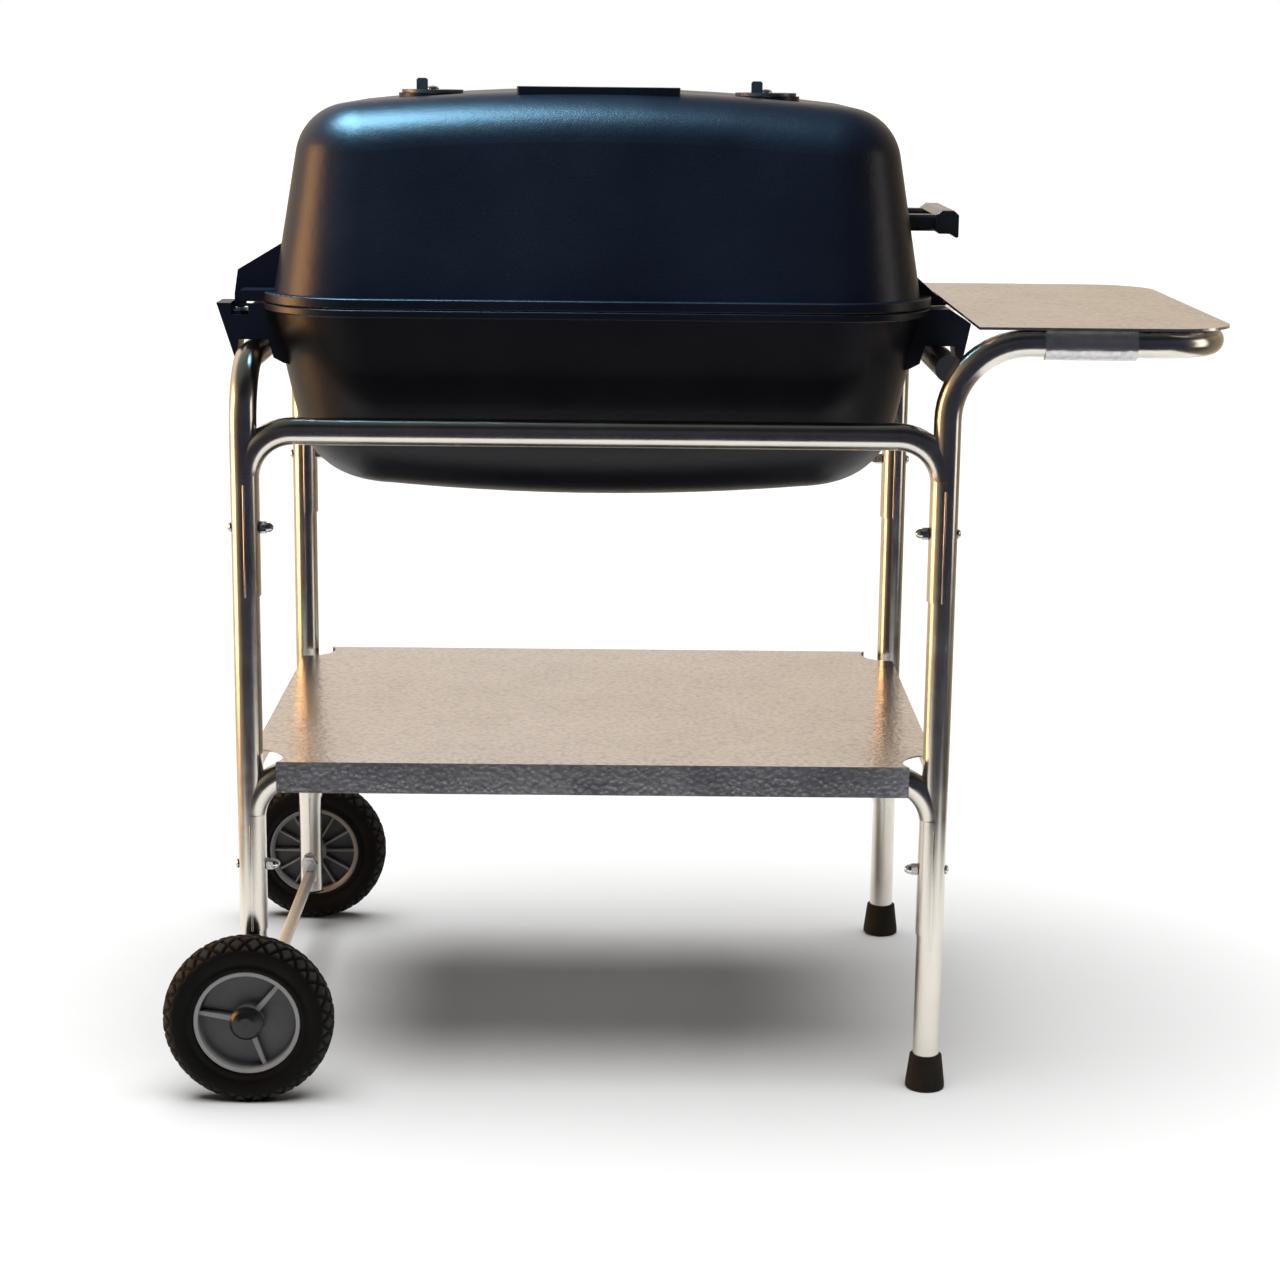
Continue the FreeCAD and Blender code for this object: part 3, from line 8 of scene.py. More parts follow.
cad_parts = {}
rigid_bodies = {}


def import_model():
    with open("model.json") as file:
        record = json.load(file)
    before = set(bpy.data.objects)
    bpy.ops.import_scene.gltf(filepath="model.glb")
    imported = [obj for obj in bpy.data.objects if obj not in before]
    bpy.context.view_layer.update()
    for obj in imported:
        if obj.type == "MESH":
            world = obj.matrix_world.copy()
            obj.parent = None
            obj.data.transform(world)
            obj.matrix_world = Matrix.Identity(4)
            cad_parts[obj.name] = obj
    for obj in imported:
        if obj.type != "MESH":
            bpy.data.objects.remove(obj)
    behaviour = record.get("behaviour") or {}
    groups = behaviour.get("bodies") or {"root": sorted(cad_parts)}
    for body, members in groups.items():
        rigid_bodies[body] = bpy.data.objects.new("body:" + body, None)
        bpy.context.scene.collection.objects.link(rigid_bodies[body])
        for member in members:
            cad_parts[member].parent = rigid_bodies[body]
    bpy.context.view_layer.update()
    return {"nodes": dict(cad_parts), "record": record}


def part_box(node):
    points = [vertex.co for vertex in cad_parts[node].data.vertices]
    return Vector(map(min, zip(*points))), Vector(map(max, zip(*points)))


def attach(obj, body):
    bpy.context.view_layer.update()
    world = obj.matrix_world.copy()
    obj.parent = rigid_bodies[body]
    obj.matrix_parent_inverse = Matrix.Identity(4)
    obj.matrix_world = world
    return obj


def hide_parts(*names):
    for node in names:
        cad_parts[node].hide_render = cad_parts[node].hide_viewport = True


# Looks of the charcoal grill, in metres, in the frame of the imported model: +X to the side shelf,
# -Y to the front, +Z up, floor at zero.

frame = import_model()
NODES = frame["nodes"]
SCENE = bpy.context.scene
MM = 0.001

SIDES = {"front": -1, "rear": 1}


# ---------------------------------------------------------------------------------------------
# Camera, floor and light
# ---------------------------------------------------------------------------------------------

def make_camera():
    """The standing photographer's view, a little left of the grill's middle, looking down."""
    position = Vector((-0.0659, -2.682, 0.979))
    pitch_down = 0.2159
    yaw = 0.0068
    roll = 0.0107
    forward = Vector((
        math.sin(yaw) * math.cos(pitch_down),
        math.cos(yaw) * math.cos(pitch_down),
        -math.sin(pitch_down),
    ))
    level_right = Vector((math.cos(yaw), -math.sin(yaw), 0))
    level_up = level_right.cross(forward)
    right = level_right * math.cos(roll) + level_up * math.sin(roll)
    up = level_up * math.cos(roll) - level_right * math.sin(roll)
    data = bpy.data.cameras.new("camera")
    data.sensor_width = 36
    data.lens = 75.1
    data.clip_end = 200
    camera = bpy.data.objects.new("camera", data)
    SCENE.collection.objects.link(camera)
    turn = Matrix((right, up, -forward)).transposed()
    camera.matrix_world = Matrix.Translation(position) @ turn.to_4x4()
    SCENE.camera = camera


PAPER_LEFT, PAPER_RIGHT, PAPER_FRONT, PAPER_BACK = -1.1, 1.0, -0.95, 0.9
FLOOR_REACH = 60


def add_floor_part(name, corners_x, corners_y, material, in_reflections):
    """A flat grid of floor on the given x and y lines. One of 3 by 3 cells leaves out its middle."""
    points = [(x, y, 0) for y in corners_y for x in corners_x]
    across = len(corners_x)
    has_middle = across > 2
    faces = []
    for row in range(len(corners_y) - 1):
        for column in range(across - 1):
            if has_middle and row == 1 and column == 1:
                continue
            first = row * across + column
            faces.append((first, first + 1, first + across + 1, first + across))
    mesh = bpy.data.meshes.new(name)
    mesh.from_pydata(points, [], faces)
    mesh.materials.append(material)
    part = bpy.data.objects.new(name, mesh)
    SCENE.collection.objects.link(part)
    part.visible_glossy = in_reflections
    return part


def make_floor():
    """Pale paper under the grill, which its tubes reflect, and more of the same floor around it."""
    material, shader = new_material("floor_paper")
    shader.inputs["Base Color"].default_value = (0.86, 0.86, 0.86, 1)
    shader.inputs["Roughness"].default_value = 0.9
    shader.inputs["Specular IOR Level"].default_value = 0
    paper_x = (PAPER_LEFT, PAPER_RIGHT)
    paper_y = (PAPER_FRONT, PAPER_BACK)
    paper = add_floor_part("paper", paper_x, paper_y, material, True)
    around_x = (-FLOOR_REACH, *paper_x, FLOOR_REACH)
    around_y = (-FLOOR_REACH, *paper_y, FLOOR_REACH)
    floor = add_floor_part("floor", around_x, around_y, material, False)
    return [paper, floor]


def add_area_light(name, at, target, width, height, watts, colour):
    """A soft rectangular light aimed at a point."""
    data = bpy.data.lights.new(name, "AREA")
    data.shape = "RECTANGLE"
    data.size = width
    data.size_y = height
    data.energy = watts
    data.color = colour
    data.cycles.max_bounces = 0
    light = bpy.data.objects.new(name, data)
    SCENE.collection.objects.link(light)
    light.location = at
    aim = Vector(target) - Vector(at)
    light.rotation_euler = aim.to_track_quat("-Z", "Y").to_euler()
    return light


def keep_light_off(light, objects):
    """Flag a light off some objects, as a studio does with black cards."""
    flagged = bpy.data.collections.new(light.name + "_flags")
    for item in objects:
        flagged.objects.link(item)
    for entry in flagged.collection_objects:
        entry.light_linking.link_state = "EXCLUDE"
    light.light_linking.receiver_collection = flagged


VESSEL_SLOTS = ("cast_shell", "handle_plastic", "damper_casting")


def is_cart_piece(piece):
    """True for a node or piece of the bright cart and its wheels."""
    if piece.type != "MESH" or piece.name in ("paper", "floor"):
        return False
    slots = {entry["node"]: entry["material_slot"] for entry in frame["record"]["subparts"]}
    return slots.get(piece.name, "cart") not in VESSEL_SLOTS


def make_lights(floor_parts):
    """Daylight from above, a cool softbox on the dark vessel only, and cards left and right."""
    sun_data = bpy.data.lights.new("sky", "SUN")
    sun_data.energy = 4.15
    sun_data.angle = math.radians(64)
    sun = bpy.data.objects.new("sky", sun_data)
    SCENE.collection.objects.link(sun)
    sun.rotation_euler = (math.radians(2), math.radians(1), 0)
    sun.visible_glossy = False
    vessel = (-0.09, 0, 0.75)
    softbox = add_area_light(
        "top_softbox", (-0.85, -0.35, 2.5), (-0.3, 0, 0.8), 1.2, 0.8, 176, (0.32, 0.70, 1.0)
    )
    left_card = add_area_light("left_card", (-2.4, -0.2, 0.75), vessel, 1.0, 1.6, 46, (1.0, 0.50, 0.18))
    right_card = add_area_light("right_card", (2.6, -0.5, 0.9), vessel, 0.8, 1.6, 7, (1.0, 0.93, 0.84))
    cart = [piece for piece in SCENE.objects if is_cart_piece(piece)]
    keep_light_off(softbox, floor_parts + cart)
    keep_light_off(left_card, floor_parts)
    keep_light_off(right_card, floor_parts)


def direction_blend(tree, direction, toward, stops):
    """A colour that depends on how far a direction turns toward a fixed one."""
    turn = tree.nodes.new("ShaderNodeVectorMath")
    turn.operation = "DOT_PRODUCT"
    turn.inputs[1].default_value = toward
    share = tree.nodes.new("ShaderNodeMapRange")
    share.inputs["From Min"].default_value = -1
    share.inputs["From Max"].default_value = 1
    ramp = tree.nodes.new("ShaderNodeValToRGB")
    fill_ramp(ramp, [((place + 1) / 2, colour) for place, colour in stops])
    tree.links.new(direction, turn.inputs[0])
    tree.links.new(turn.outputs["Value"], share.inputs["Value"])
    tree.links.new(share.outputs["Result"], ramp.inputs["Fac"])
    return ramp.outputs["Color"]


def make_world():
    """The camera sees white. Reflections see a warm bright wall behind and a dark room in front."""
    world = bpy.data.worlds.new("room")
    SCENE.world = world
    world.use_nodes = True
    tree = world.node_tree
    tree.nodes.clear()
    output = tree.nodes.new("ShaderNodeOutputWorld")
    direction = tree.nodes.new("ShaderNodeTexCoord").outputs["Generated"]
    back_left = (-0.5, 0.866, 0)
    walls = direction_blend(tree, direction, back_left, [
        (-1.0, (0.029, 0.033, 0.058, 1)),
        (-0.40, (0.055, 0.050, 0.045, 1)),
        (-0.10, (0.25, 0.21, 0.165, 1)),
        (0.30, (0.40, 0.32, 0.22, 1)),
        (0.70, (0.80, 0.65, 0.48, 1)),
        (0.87, (0.92, 0.80, 0.68, 1)),
        (1.0, (0.88, 0.68, 0.42, 1)),
    ])
    heights = direction_blend(tree, direction, (0, 0, 1), [
        (-1.0, (0.8, 0.8, 0.8, 1)),
        (-0.02, (0.85, 0.85, 0.85, 1)),
        (0.10, (0.78, 0.78, 0.78, 1)),
        (0.22, (1.0, 1.0, 1.0, 1)),
        (0.50, (1.0, 1.0, 1.0, 1)),
        (0.72, (0.26, 0.34, 0.42, 1)),
        (1.0, (0.30, 0.42, 0.54, 1)),
    ])
    both = tree.nodes.new("ShaderNodeMix")
    both.data_type = "RGBA"
    both.blend_type = "MULTIPLY"
    both.inputs["Factor"].default_value = 1
    room = tree.nodes.new("ShaderNodeBackground")
    backdrop = tree.nodes.new("ShaderNodeBackground")
    backdrop.inputs["Color"].default_value = (1, 1, 1, 1)
    rays = tree.nodes.new("ShaderNodeLightPath")
    fill = tree.nodes.new("ShaderNodeMapRange")
    fill.inputs["To Min"].default_value = 1
    fill.inputs["To Max"].default_value = 0.06
    tree.links.new(rays.outputs["Is Diffuse Ray"], fill.inputs["Value"])
    tree.links.new(fill.outputs["Result"], room.inputs["Strength"])
    choose = tree.nodes.new("ShaderNodeMixShader")
    tree.links.new(walls, both.inputs["A"])
    tree.links.new(heights, both.inputs["B"])
    tree.links.new(both.outputs["Result"], room.inputs["Color"])
    tree.links.new(rays.outputs["Is Camera Ray"], choose.inputs[0])
    tree.links.new(room.outputs[0], choose.inputs[1])
    tree.links.new(backdrop.outputs[0], choose.inputs[2])
    tree.links.new(choose.outputs[0], output.inputs[0])


# ---------------------------------------------------------------------------------------------
# Material helpers
# ---------------------------------------------------------------------------------------------

def new_material(name):
    """A node material and its Principled shader."""
    material = bpy.data.materials.new(name)
    material.use_nodes = True
    shader = material.node_tree.nodes["Principled BSDF"]
    return material, shader


def fill_ramp(ramp, stops):
    """Set every stop of a colour ramp from (position, colour) pairs."""
    elements = ramp.color_ramp.elements
    while len(elements) < len(stops):
        elements.new(1)
    for element, (position, colour) in zip(elements, stops):
        element.position = position
        element.color = colour


def object_space(material, stretch=(1, 1, 1)):
    """Object coordinates, scaled by axis: at rest they are the frame's metres."""
    tree = material.node_tree
    coordinates = tree.nodes.new("ShaderNodeTexCoord")
    mapping = tree.nodes.new("ShaderNodeMapping")
    mapping.inputs["Scale"].default_value = stretch
    tree.links.new(coordinates.outputs["Object"], mapping.inputs["Vector"])
    return mapping.outputs["Vector"]


def noise(material, space, scale, detail=3, roughness=0.5):
    """A noise texture's value in 0..1, with scale in cycles per metre."""
    tree = material.node_tree
    texture = tree.nodes.new("ShaderNodeTexNoise")
    texture.inputs["Scale"].default_value = scale
    texture.inputs["Detail"].default_value = detail
    texture.inputs["Roughness"].default_value = roughness
    tree.links.new(space, texture.inputs["Vector"])
    return texture.outputs["Fac"]


def cells(material, space, scale):
    """The distance to the middle of soft-edged cells, with scale in cells per metre."""
    tree = material.node_tree
    texture = tree.nodes.new("ShaderNodeTexVoronoi")
    texture.feature = "SMOOTH_F1"
    texture.inputs["Scale"].default_value = scale
    tree.links.new(space, texture.inputs["Vector"])
    return texture.outputs["Distance"]


def ramp_colour(material, value, stops):
    """A value turned into colour by a ramp."""
    tree = material.node_tree
    ramp = tree.nodes.new("ShaderNodeValToRGB")
    fill_ramp(ramp, stops)
    tree.links.new(value, ramp.inputs["Fac"])
    return ramp.outputs["Color"]


def spread(material, value, low, high, start=0.3, end=0.7):
    """A value in start..end mapped to low..high."""
    tree = material.node_tree
    mapped = tree.nodes.new("ShaderNodeMapRange")
    mapped.inputs["From Min"].default_value = start
    mapped.inputs["From Max"].default_value = end
    mapped.inputs["To Min"].default_value = low
    mapped.inputs["To Max"].default_value = high
    tree.links.new(value, mapped.inputs["Value"])
    return mapped.outputs["Result"]


def combine(material, first, second, operation="ADD"):
    """Two values joined by one arithmetic step."""
    tree = material.node_tree
    step = tree.nodes.new("ShaderNodeMath")
    step.operation = operation
    for value, socket in zip((first, second), step.inputs):
        if isinstance(value, float):
            socket.default_value = value
        else:
            tree.links.new(value, socket)
    return step.outputs[0]


def connect(material, value, shader, name):
    """Join a value or colour to one of the shader's sockets."""
    material.node_tree.links.new(value, shader.inputs[name])


def add_bump(material, shader, height, depth, strength=1.0):
    """Relief of a given depth in metres from a height value."""
    tree = material.node_tree
    bump = tree.nodes.new("ShaderNodeBump")
    bump.inputs["Distance"].default_value = depth
    bump.inputs["Strength"].default_value = strength
    tree.links.new(height, bump.inputs["Height"])
    tree.links.new(bump.outputs["Normal"], shader.inputs["Normal"])


def grey(level, red=1.0, blue=1.0):
    """A grey with its red and blue scaled, as a colour with alpha."""
    return (level * red, level, level * blue, 1)


# ---------------------------------------------------------------------------------------------
# Materials
# ---------------------------------------------------------------------------------------------

def cast_shell_material():
    """Satin black coat over a fine sand-cast skin, a little uneven in gloss."""
    material, shader = new_material("graphite_cast")
    space = object_space(material)
    patches = noise(material, space, 9, 4)
    sand = noise(material, space, 620, 3, 0.6)
    orange_peel = noise(material, space, 190, 2)
    tones = [(0.3, grey(0.0026, 0.9, 2.1)), (0.7, grey(0.0040, 0.92, 1.9))]
    colour = ramp_colour(material, patches, tones)
    connect(material, colour, shader, "Base Color")
    connect(material, spread(material, patches, 0.32, 0.38), shader, "Roughness")
    height = combine(material, sand, combine(material, orange_peel, 0.8, "MULTIPLY"))
    add_bump(material, shader, height, 0.00022, 0.55)
    shader.inputs["Specular IOR Level"].default_value = 0.36
    return material


def tube_material(name, stretch):
    """Polished aluminium tube with faint draw lines along its length and smudged gloss."""
    material, shader = new_material(name)
    space = object_space(material)
    along = object_space(material, stretch)
    smudges = noise(material, space, 28, 4, 0.6)
    lines = noise(material, along, 1400, 2)
    tones = [(0.3, (0.71, 0.66, 0.58, 1)), (0.7, (0.80, 0.76, 0.69, 1))]
    tint = ramp_colour(material, smudges, tones)
    connect(material, tint, shader, "Base Color")
    shader.inputs["Metallic"].default_value = 1
    smudged = spread(material, smudges, 0.15, 0.22)
    gloss = combine(material, smudged, spread(material, lines, 0.0, 0.06))
    connect(material, gloss, shader, "Roughness")
    add_bump(material, shader, lines, 0.00003, 0.35)
    return material


def strut_material():
    """Pressed aluminium tube left satin, with fine scuffs."""
    material, shader = new_material("strut_satin")
    space = object_space(material)
    scuffs = noise(material, space, 160, 5, 0.65)
    tones = [(0.3, (0.70, 0.66, 0.60, 1)), (0.7, (0.84, 0.81, 0.75, 1))]
    connect(material, ramp_colour(material, scuffs, tones), shader, "Base Color")
    shader.inputs["Metallic"].default_value = 0.8
    connect(material, spread(material, scuffs, 0.34, 0.48), shader, "Roughness")
    add_bump(material, shader, scuffs, 0.00006, 0.5)
    return material


def hammered_material():
    """Silver-vein hammered powder coat: shallow dimples with darker veins between them."""
    material, shader = new_material("hammered_silver")
    space = object_space(material)
    dimples = cells(material, space, 230)
    pits = noise(material, space, 520, 2)
    clouds = noise(material, space, 14, 3)
    tones = [(0.25, grey(0.69, 1.03, 1.0)), (0.75, grey(0.51, 1.0, 1.05))]
    veins = ramp_colour(material, dimples, tones)
    connect(material, veins, shader, "Base Color")
    shader.inputs["Metallic"].default_value = 0.95
    connect(material, spread(material, clouds, 0.19, 0.26), shader, "Roughness")
    height = combine(material, dimples, combine(material, pits, 0.35, "MULTIPLY"))
    add_bump(material, shader, height, 0.0003, 0.6)
    return material


def plated_material():
    """Bright plated steel with fine marks."""
    material, shader = new_material("bright_plating")
    space = object_space(material)
    marks = noise(material, space, 420, 4)
    tones = [(0.3, grey(0.62)), (0.7, grey(0.78))]
    connect(material, ramp_colour(material, marks, tones), shader, "Base Color")
    shader.inputs["Metallic"].default_value = 1
    connect(material, spread(material, marks, 0.16, 0.30), shader, "Roughness")
    add_bump(material, shader, marks, 0.00004, 0.4)
    return material


def damper_material():
    """As-cast aluminium with a light polish, pitted and duller in the hollows."""
    material, shader = new_material("damper_casting")
    space = object_space(material)
    grain = noise(material, space, 340, 4, 0.6)
    tones = [(0.3, grey(0.08)), (0.7, grey(0.17, 1.0, 0.97))]
    connect(material, ramp_colour(material, grain, tones), shader, "Base Color")
    shader.inputs["Metallic"].default_value = 0.9
    connect(material, spread(material, grain, 0.48, 0.34), shader, "Roughness")
    add_bump(material, shader, grain, 0.00015, 0.6)
    return material


def plastic_material(name, dark, light, low_gloss, high_gloss, grain_scale, grain_depth):
    """Moulded plastic: two near tones, a roughness range and a fine moulded grain."""
    material, shader = new_material(name)
    space = object_space(material)
    clouds = noise(material, space, 35, 3)
    grain = noise(material, space, grain_scale, 2)
    connect(material, ramp_colour(material, clouds, [(0.3, dark), (0.7, light)]), shader, "Base Color")
    connect(material, spread(material, clouds, low_gloss, high_gloss), shader, "Roughness")
    add_bump(material, shader, grain, grain_depth, 0.5)
    return material


def rim_material():
    """Grey moulded wheel centre, paler on its lip and behind its web than in the outer recess: a painted
    highlight on the lip, painted light on the inner side behind the web, painted shade in the recess.
    """
    material, shader = new_material("rim_grey")
    lip = max(abs(corner.y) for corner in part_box("wheel_rim_front"))
    recess = lip - 12 * MM
    web = recess - 7 * MM
    tree = material.node_tree
    space = object_space(material)
    parts = tree.nodes.new("ShaderNodeSeparateXYZ")
    tree.links.new(space, parts.inputs[0])
    distance = combine(material, parts.outputs["Y"], 0.0, "ABSOLUTE")
    # Painted light: a painted highlight on the lip and painted light on the inner side behind the web,
    # lifting a dark tone that is painted shade in the outer recess.
    raised = spread(material, distance, 0.0, 1.0, recess, lip - 2 * MM)
    behind = spread(material, distance, 0.55, 0.0, web - 1 * MM, web)
    painted_light_share = combine(material, raised, behind)
    clouds = combine(material, noise(material, space, 35, 3), 0.3, "MULTIPLY")
    # Dark tone: painted shade in the recess. Pale tone: painted highlight on the lip and painted light
    # behind the web.
    tones = [(0.1, grey(0.038, 0.98, 1.04)), (1.0, grey(0.26, 1.02, 0.98))]
    colour = ramp_colour(material, combine(material, painted_light_share, clouds), tones)
    connect(material, colour, shader, "Base Color")
    connect(material, spread(material, clouds, 0.34, 0.46, 0.1, 0.2), shader, "Roughness")
    add_bump(material, shader, noise(material, space, 700, 2), 0.00008, 0.5)
    return material


def rubber_material(name, dark, dust, roughness):
    """Black rubber with a fine grain and a trace of dust in soft patches, and its shader."""
    material, shader = new_material(name)
    space = object_space(material)
    patches = noise(material, space, 48, 5, 0.6)
    grain = noise(material, space, 900, 2)
    connect(material, ramp_colour(material, patches, [(0.38, dark), (0.72, dust)]), shader, "Base Color")
    connect(material, spread(material, patches, roughness, roughness + 0.14), shader, "Roughness")
    add_bump(material, shader, grain, 0.00012, 0.6)
    shader.inputs["Specular IOR Level"].default_value = 0.15
    return material, shader


# Mesh attribute, up to 1 on the tops of tread blocks and 0 in groove floors and on sidewalls: it marks
# wear and a painted highlight on the block tops, and painted shade in the grooves.
BLOCK_WEAR_AND_LIGHT_ATTRIBUTE = "worn"


def tyre_material():
    """Black tyre rubber, dusty grey where a mesh attribute marks the tops of its blocks: partly dust and
    wear, partly a painted highlight on the block tops, with painted shade in the grooves.
    """
    dark = grey(0.0022, 1.15, 0.85)
    dust = grey(0.006, 1.15, 0.84)
    material, shader = rubber_material("tyre_rubber", dark, dust, 0.62)
    worn = material.node_tree.nodes.new("ShaderNodeAttribute")
    worn.attribute_name = BLOCK_WEAR_AND_LIGHT_ATTRIBUTE
    patches = noise(material, object_space(material), 70, 4, 0.6)
    # Block tops pale and grooves dark: partly dust and wear, partly a painted highlight on the tops and
    # painted shade in the grooves.
    wear_and_light_share = combine(material, worn.outputs["Fac"], spread(material, patches, 0.5, 1.0), "MULTIPLY")
    tones = [(0.0, dark), (0.35, dust), (1.0, grey(0.034, 1.06, 0.9))]
    connect(material, ramp_colour(material, wear_and_light_share, tones), shader, "Base Color")
    return material


def make_materials():
    """One material for each slot of the record, with the tube's lines along each node's length."""
    return {
        "cast_shell": cast_shell_material(),
        "polished_tube": tube_material("polished_tube_upright", (1, 1, 0.012)),
        "polished_tube_x": tube_material("polished_tube_lengthwise", (0.012, 1, 1)),
        "polished_tube_y": tube_material("polished_tube_crosswise", (1, 0.012, 1)),
        "strut_satin": strut_material(),
        "hammered_sheet": hammered_material(),
        "plated_hardware": plated_material(),
        "grate_wire": plated_material(),
        "damper_casting": damper_material(),
        "handle_plastic": plastic_material(
            "handle_black", grey(0.008), grey(0.012), 0.12, 0.2, 300, 0.00004
        ),
        "rim_plastic": rim_material(),
        "cap_plastic": plastic_material(
            "cap_black", grey(0.005), grey(0.008), 0.22, 0.32, 600, 0.00003
        ),
        "tyre_rubber": tyre_material(),
        "foot_rubber": rubber_material(
            "foot_rubber", grey(0.008, 1.25, 0.75), grey(0.018, 1.25, 0.75), 0.6
        )[0],
    }


TUBES_ALONG_X = ("upper_brace_front", "upper_brace_rear", "lower_brace_front", "lower_brace_rear")
TUBES_ALONG_Y = ("right_cross_rail",)


def dress_cad_nodes(materials):
    """Give each CAD node the material of its slot."""
    for entry in frame["record"]["subparts"]:
        name = entry["node"]
        choice = entry["material_slot"]
        if name in TUBES_ALONG_X:
            choice = "polished_tube_x"
        elif name in TUBES_ALONG_Y:
            choice = "polished_tube_y"
        elif name == "leg_strut":
            choice = "strut_satin"
        mesh = NODES[name].data
        for index in range(len(mesh.materials)):
            mesh.materials[index] = materials[choice]


# ---------------------------------------------------------------------------------------------
# Mesh helpers
# ---------------------------------------------------------------------------------------------

def add_piece(name, mesh, body, slot, material, *replaced):
    """Put a mesh in the scene as a smooth-shaded piece that rides on a body."""
    piece = bpy.data.objects.new(name, mesh)
    SCENE.collection.objects.link(piece)
    mesh.materials.append(material)
    mesh.polygons.foreach_set("use_smooth", [True] * len(mesh.polygons))
    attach(piece, body)
    if replaced:
        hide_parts(*replaced)
    return piece


def closed_rings(name, rings):
    """A mesh skinned over closed rings of points, itself closed into a torus-like surface."""
    count = len(rings[0])
    points = [point for ring in rings for point in ring]
    faces = []
    for index in range(len(rings)):
        following = (index + 1) % len(rings)
        for step in range(count):
            beside = (step + 1) % count
            faces.append((
                index * count + step,
                index * count + beside,
                following * count + beside,
                following * count + step,
            ))
    mesh = bpy.data.meshes.new(name)
    mesh.from_pydata(points, [], faces)
    return mesh


# ---------------------------------------------------------------------------------------------
# Tyres
# ---------------------------------------------------------------------------------------------

TREAD_BLOCKS = 15
STEPS_PER_BLOCK = 56
HALF_TREAD = 19 * MM
GROOVE_HALF_WIDTH = 1.0 * MM
GROOVE_SLOPE = 0.7 * MM
GROOVE_DEPTH = 2.4 * MM
ROW_REACH = 0.28
NET_REACH = 3 * ROW_REACH
SLOT_SHARE = 0.8
FLAT_REACH = 0.30
SHOULDER_REACH = 0.70
TREAD_START_DEGREES = 14
TREAD_FADE_DEGREES = 16


def triangle_wave(turns):
    """A zigzag between -1 and 1 with one period per turn."""
    part = turns % 1
    return 4 * part - 1 if part < 0.5 else 3 - 4 * part


def groove_share(distance):
    """1 in a groove's floor, 0 on the block beside it, given the distance from its middle."""
    inside = (GROOVE_HALF_WIDTH + GROOVE_SLOPE - abs(distance)) / GROOVE_SLOPE
    inside = max(0.0, min(1.0, inside))
    return inside * inside * (3 - 2 * inside)


def tread_depth(turns, across, block_length):
    """Depth cut from the tread: three rows of diamonds, then straight slots to the shoulders."""
    zigzag = ROW_REACH * triangle_wave(turns)
    lean = 4 * ROW_REACH * HALF_TREAD / block_length
    tilt = math.sqrt(1 + lean * lean)
    share = 0.0
    if abs(across) < NET_REACH:
        in_row = (across + ROW_REACH) % (2 * ROW_REACH) - ROW_REACH
        share = max(
            groove_share((in_row - zigzag) * HALF_TREAD / tilt),
            groove_share((in_row + zigzag) * HALF_TREAD / tilt),
        )
    if abs(across) > NET_REACH - 0.03:
        offset = turns % 0.5
        offset = min(offset, 0.5 - offset)
        share = max(share, SLOT_SHARE * groove_share(offset * block_length))
    return share * GROOVE_DEPTH


def tyre_profile(width, crown, bead):
    """(radius, offset from the middle, share of tread depth, place across) from edge to edge."""
    half = width / 2
    shoulder_rise = 14 * MM
    shoulder_run = 13 * MM
    widest = crown - shoulder_rise
    flat_half = half - shoulder_run
    side = [
        (bead - 2 * MM, half - 7.5 * MM, 0, 1),
        (bead + 0.2 * MM, half - 5.5 * MM, 0, 1),
        (bead + 0.3 * MM, half - 1.6 * MM, 0, 1),
        (bead + 2.2 * MM, half - 0.6 * MM, 0, 1),
        (bead + 4.6 * MM, half - 0.9 * MM, 0, 1),
        (bead + 5.6 * MM, half - 1.7 * MM, 0, 1),
        (bead + 8.4 * MM, half - 1.5 * MM, 0, 1),
        (bead + 9.4 * MM, half - 0.4 * MM, 0, 1),
        (widest - 1.5 * MM, half, 0, 1),
    ]
    arc_steps = 22
    for step in range(arc_steps + 1):
        angle = math.pi / 2 * step / arc_steps
        past_start = math.degrees(angle) - TREAD_START_DEGREES
        depth_share = min(1.0, max(0.0, past_start / TREAD_FADE_DEGREES))
        across = 1 - SHOULDER_REACH * step / arc_steps
        radius = widest + shoulder_rise * math.sin(angle)
        side.append((radius, flat_half + shoulder_run * math.cos(angle), depth_share, across))
    flat_steps = 14
    middle = []
    for step in range(1, flat_steps):
        place = 1 - 2 * step / flat_steps
        middle.append((crown, flat_half * place, 1, FLAT_REACH * place))
    other_side = [(radius, -offset, share, -across) for radius, offset, share, across in reversed(side)]
    return side + middle + other_side


def make_tyre(name, side, materials):
    """A tyre with raised tread blocks round its crown and shoulders and a stepped sidewall."""
    low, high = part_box(name)
    centre = (low + high) / 2
    width = high.y - low.y
    crown = (high.z - low.z) / 2
    place = "front" if side < 0 else "rear"
    rim_low, rim_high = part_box(f"wheel_rim_{place}")
    bead = (rim_high.z - rim_low.z) / 2
    profile = tyre_profile(width, crown, bead)
    block_length = 2 * math.pi * crown / TREAD_BLOCKS
    rings = []
    worn = []
    steps = TREAD_BLOCKS * STEPS_PER_BLOCK
    for step in range(steps):
        angle = 2 * math.pi * step / steps
        turns = step / STEPS_PER_BLOCK
        outward = Vector((math.cos(angle), 0, math.sin(angle)))
        ring = []
        for radius, offset, share, across in profile:
            cut = share * tread_depth(turns, across, block_length) if share else 0
            ring.append(centre + outward * (radius - cut) + Vector((0, offset, 0)))
            # Up to 1 on block tops, 0 in groove floors and on sidewalls: wear plus a painted highlight
            # on the tops, and painted shade in the grooves.
            worn.append(share * (1 - cut / GROOVE_DEPTH))
        rings.append(ring)
    mesh = closed_rings(name + "_tread", rings)
    mesh.attributes.new(BLOCK_WEAR_AND_LIGHT_ATTRIBUTE, "FLOAT", "POINT").data.foreach_set("value", worn)
    add_piece(name + "_tread", mesh, f"wheel_{place}", "tyre_rubber", materials["tyre_rubber"], name)


# ---------------------------------------------------------------------------------------------
# Edges of the brace saddles
# ---------------------------------------------------------------------------------------------

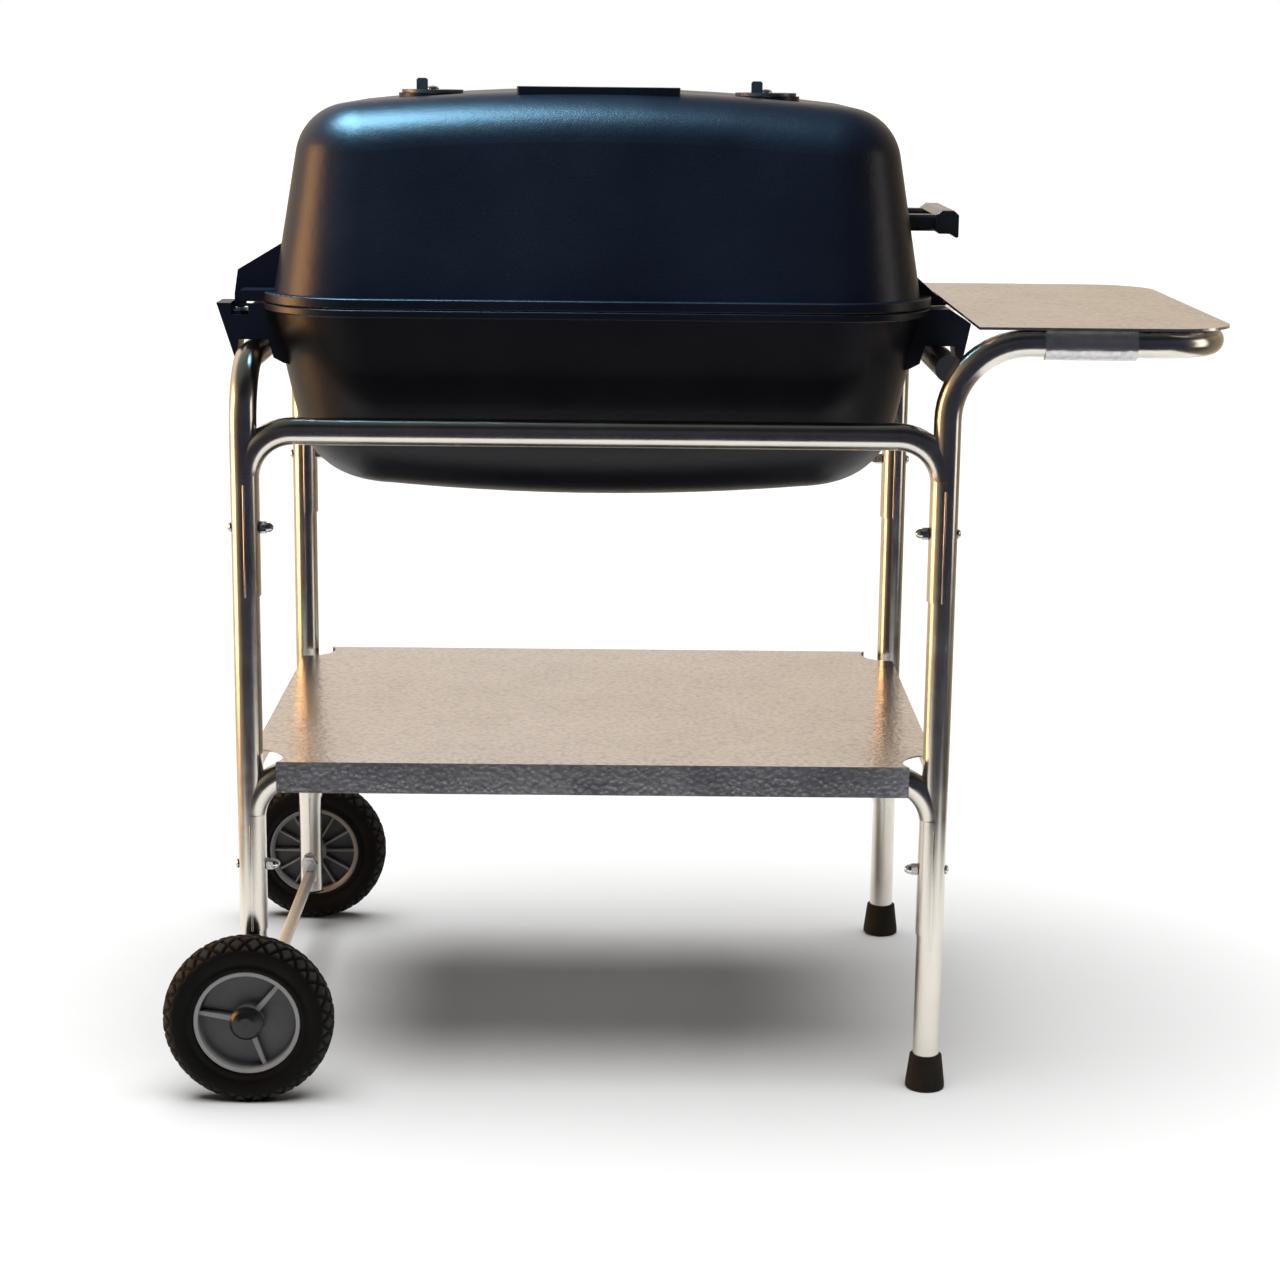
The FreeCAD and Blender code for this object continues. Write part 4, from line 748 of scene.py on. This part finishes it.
def rounded_rod(name, start, end, radius):
    """A slim rod with domed ends between two points."""
    sides = 12
    dome_steps = 4
    along = (end - start).normalized()
    across = along.orthogonal().normalized()
    beside = along.cross(across)
    stations = []
    for step in range(dome_steps + 1):
        angle = math.pi / 2 * step / dome_steps
        stations.append((start - along * radius * math.cos(angle), radius * math.sin(angle)))
    for step in range(dome_steps, -1, -1):
        angle = math.pi / 2 * step / dome_steps
        stations.append((end + along * radius * math.cos(angle), radius * math.sin(angle)))
    shape = bmesh.new()
    rings = []
    for middle, reach in stations[1:-1]:
        ring = []
        for side in range(sides):
            turn = 2 * math.pi * side / sides
            offset = across * math.cos(turn) + beside * math.sin(turn)
            ring.append(shape.verts.new(middle + offset * reach))
        rings.append(ring)
    for first, second in zip(rings, rings[1:]):
        for side in range(sides):
            beside_it = (side + 1) % sides
            shape.faces.new((first[side], first[beside_it], second[beside_it], second[side]))
    for ring, tip in ((rings[0][::-1], stations[0][0]), (rings[-1], stations[-1][0])):
        point = shape.verts.new(tip)
        for side in range(sides):
            shape.faces.new((ring[side], ring[(side + 1) % sides], point))
    mesh = bpy.data.meshes.new(name)
    shape.to_mesh(mesh)
    shape.free()
    return mesh


def make_saddle_edges(brace, materials):
    """Rolled edges where a brace's opened ends lie round the legs, one at each side of each leg."""
    low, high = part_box(brace)
    edge_radius = 1.0 * MM
    inset = 0.6 * MM
    saddle_length = 104 * MM
    for end, x in (("left", low.x), ("right", high.x)):
        inward = 1 if end == "left" else -1
        for place, y in (("front", low.y + inset), ("rear", high.y - inset)):
            start = Vector((x + inward * edge_radius, y, low.z + edge_radius))
            top = start + Vector((0, 0, saddle_length))
            name = f"{brace}_{end}_{place}_edge"
            mesh = rounded_rod(name, start, top, edge_radius)
            add_piece(name, mesh, "cart", "polished_tube", materials["polished_tube"])


# ---------------------------------------------------------------------------------------------
# Put it together
# ---------------------------------------------------------------------------------------------

make_camera()
SCENE.view_settings.view_transform = "Standard"
MATERIALS = make_materials()
dress_cad_nodes(MATERIALS)
for place_name, place_side in SIDES.items():
    make_tyre(f"tyre_{place_name}", place_side, MATERIALS)
    make_saddle_edges(f"upper_brace_{place_name}", MATERIALS)
    make_saddle_edges(f"lower_brace_{place_name}", MATERIALS)
make_lights(make_floor())
make_world()
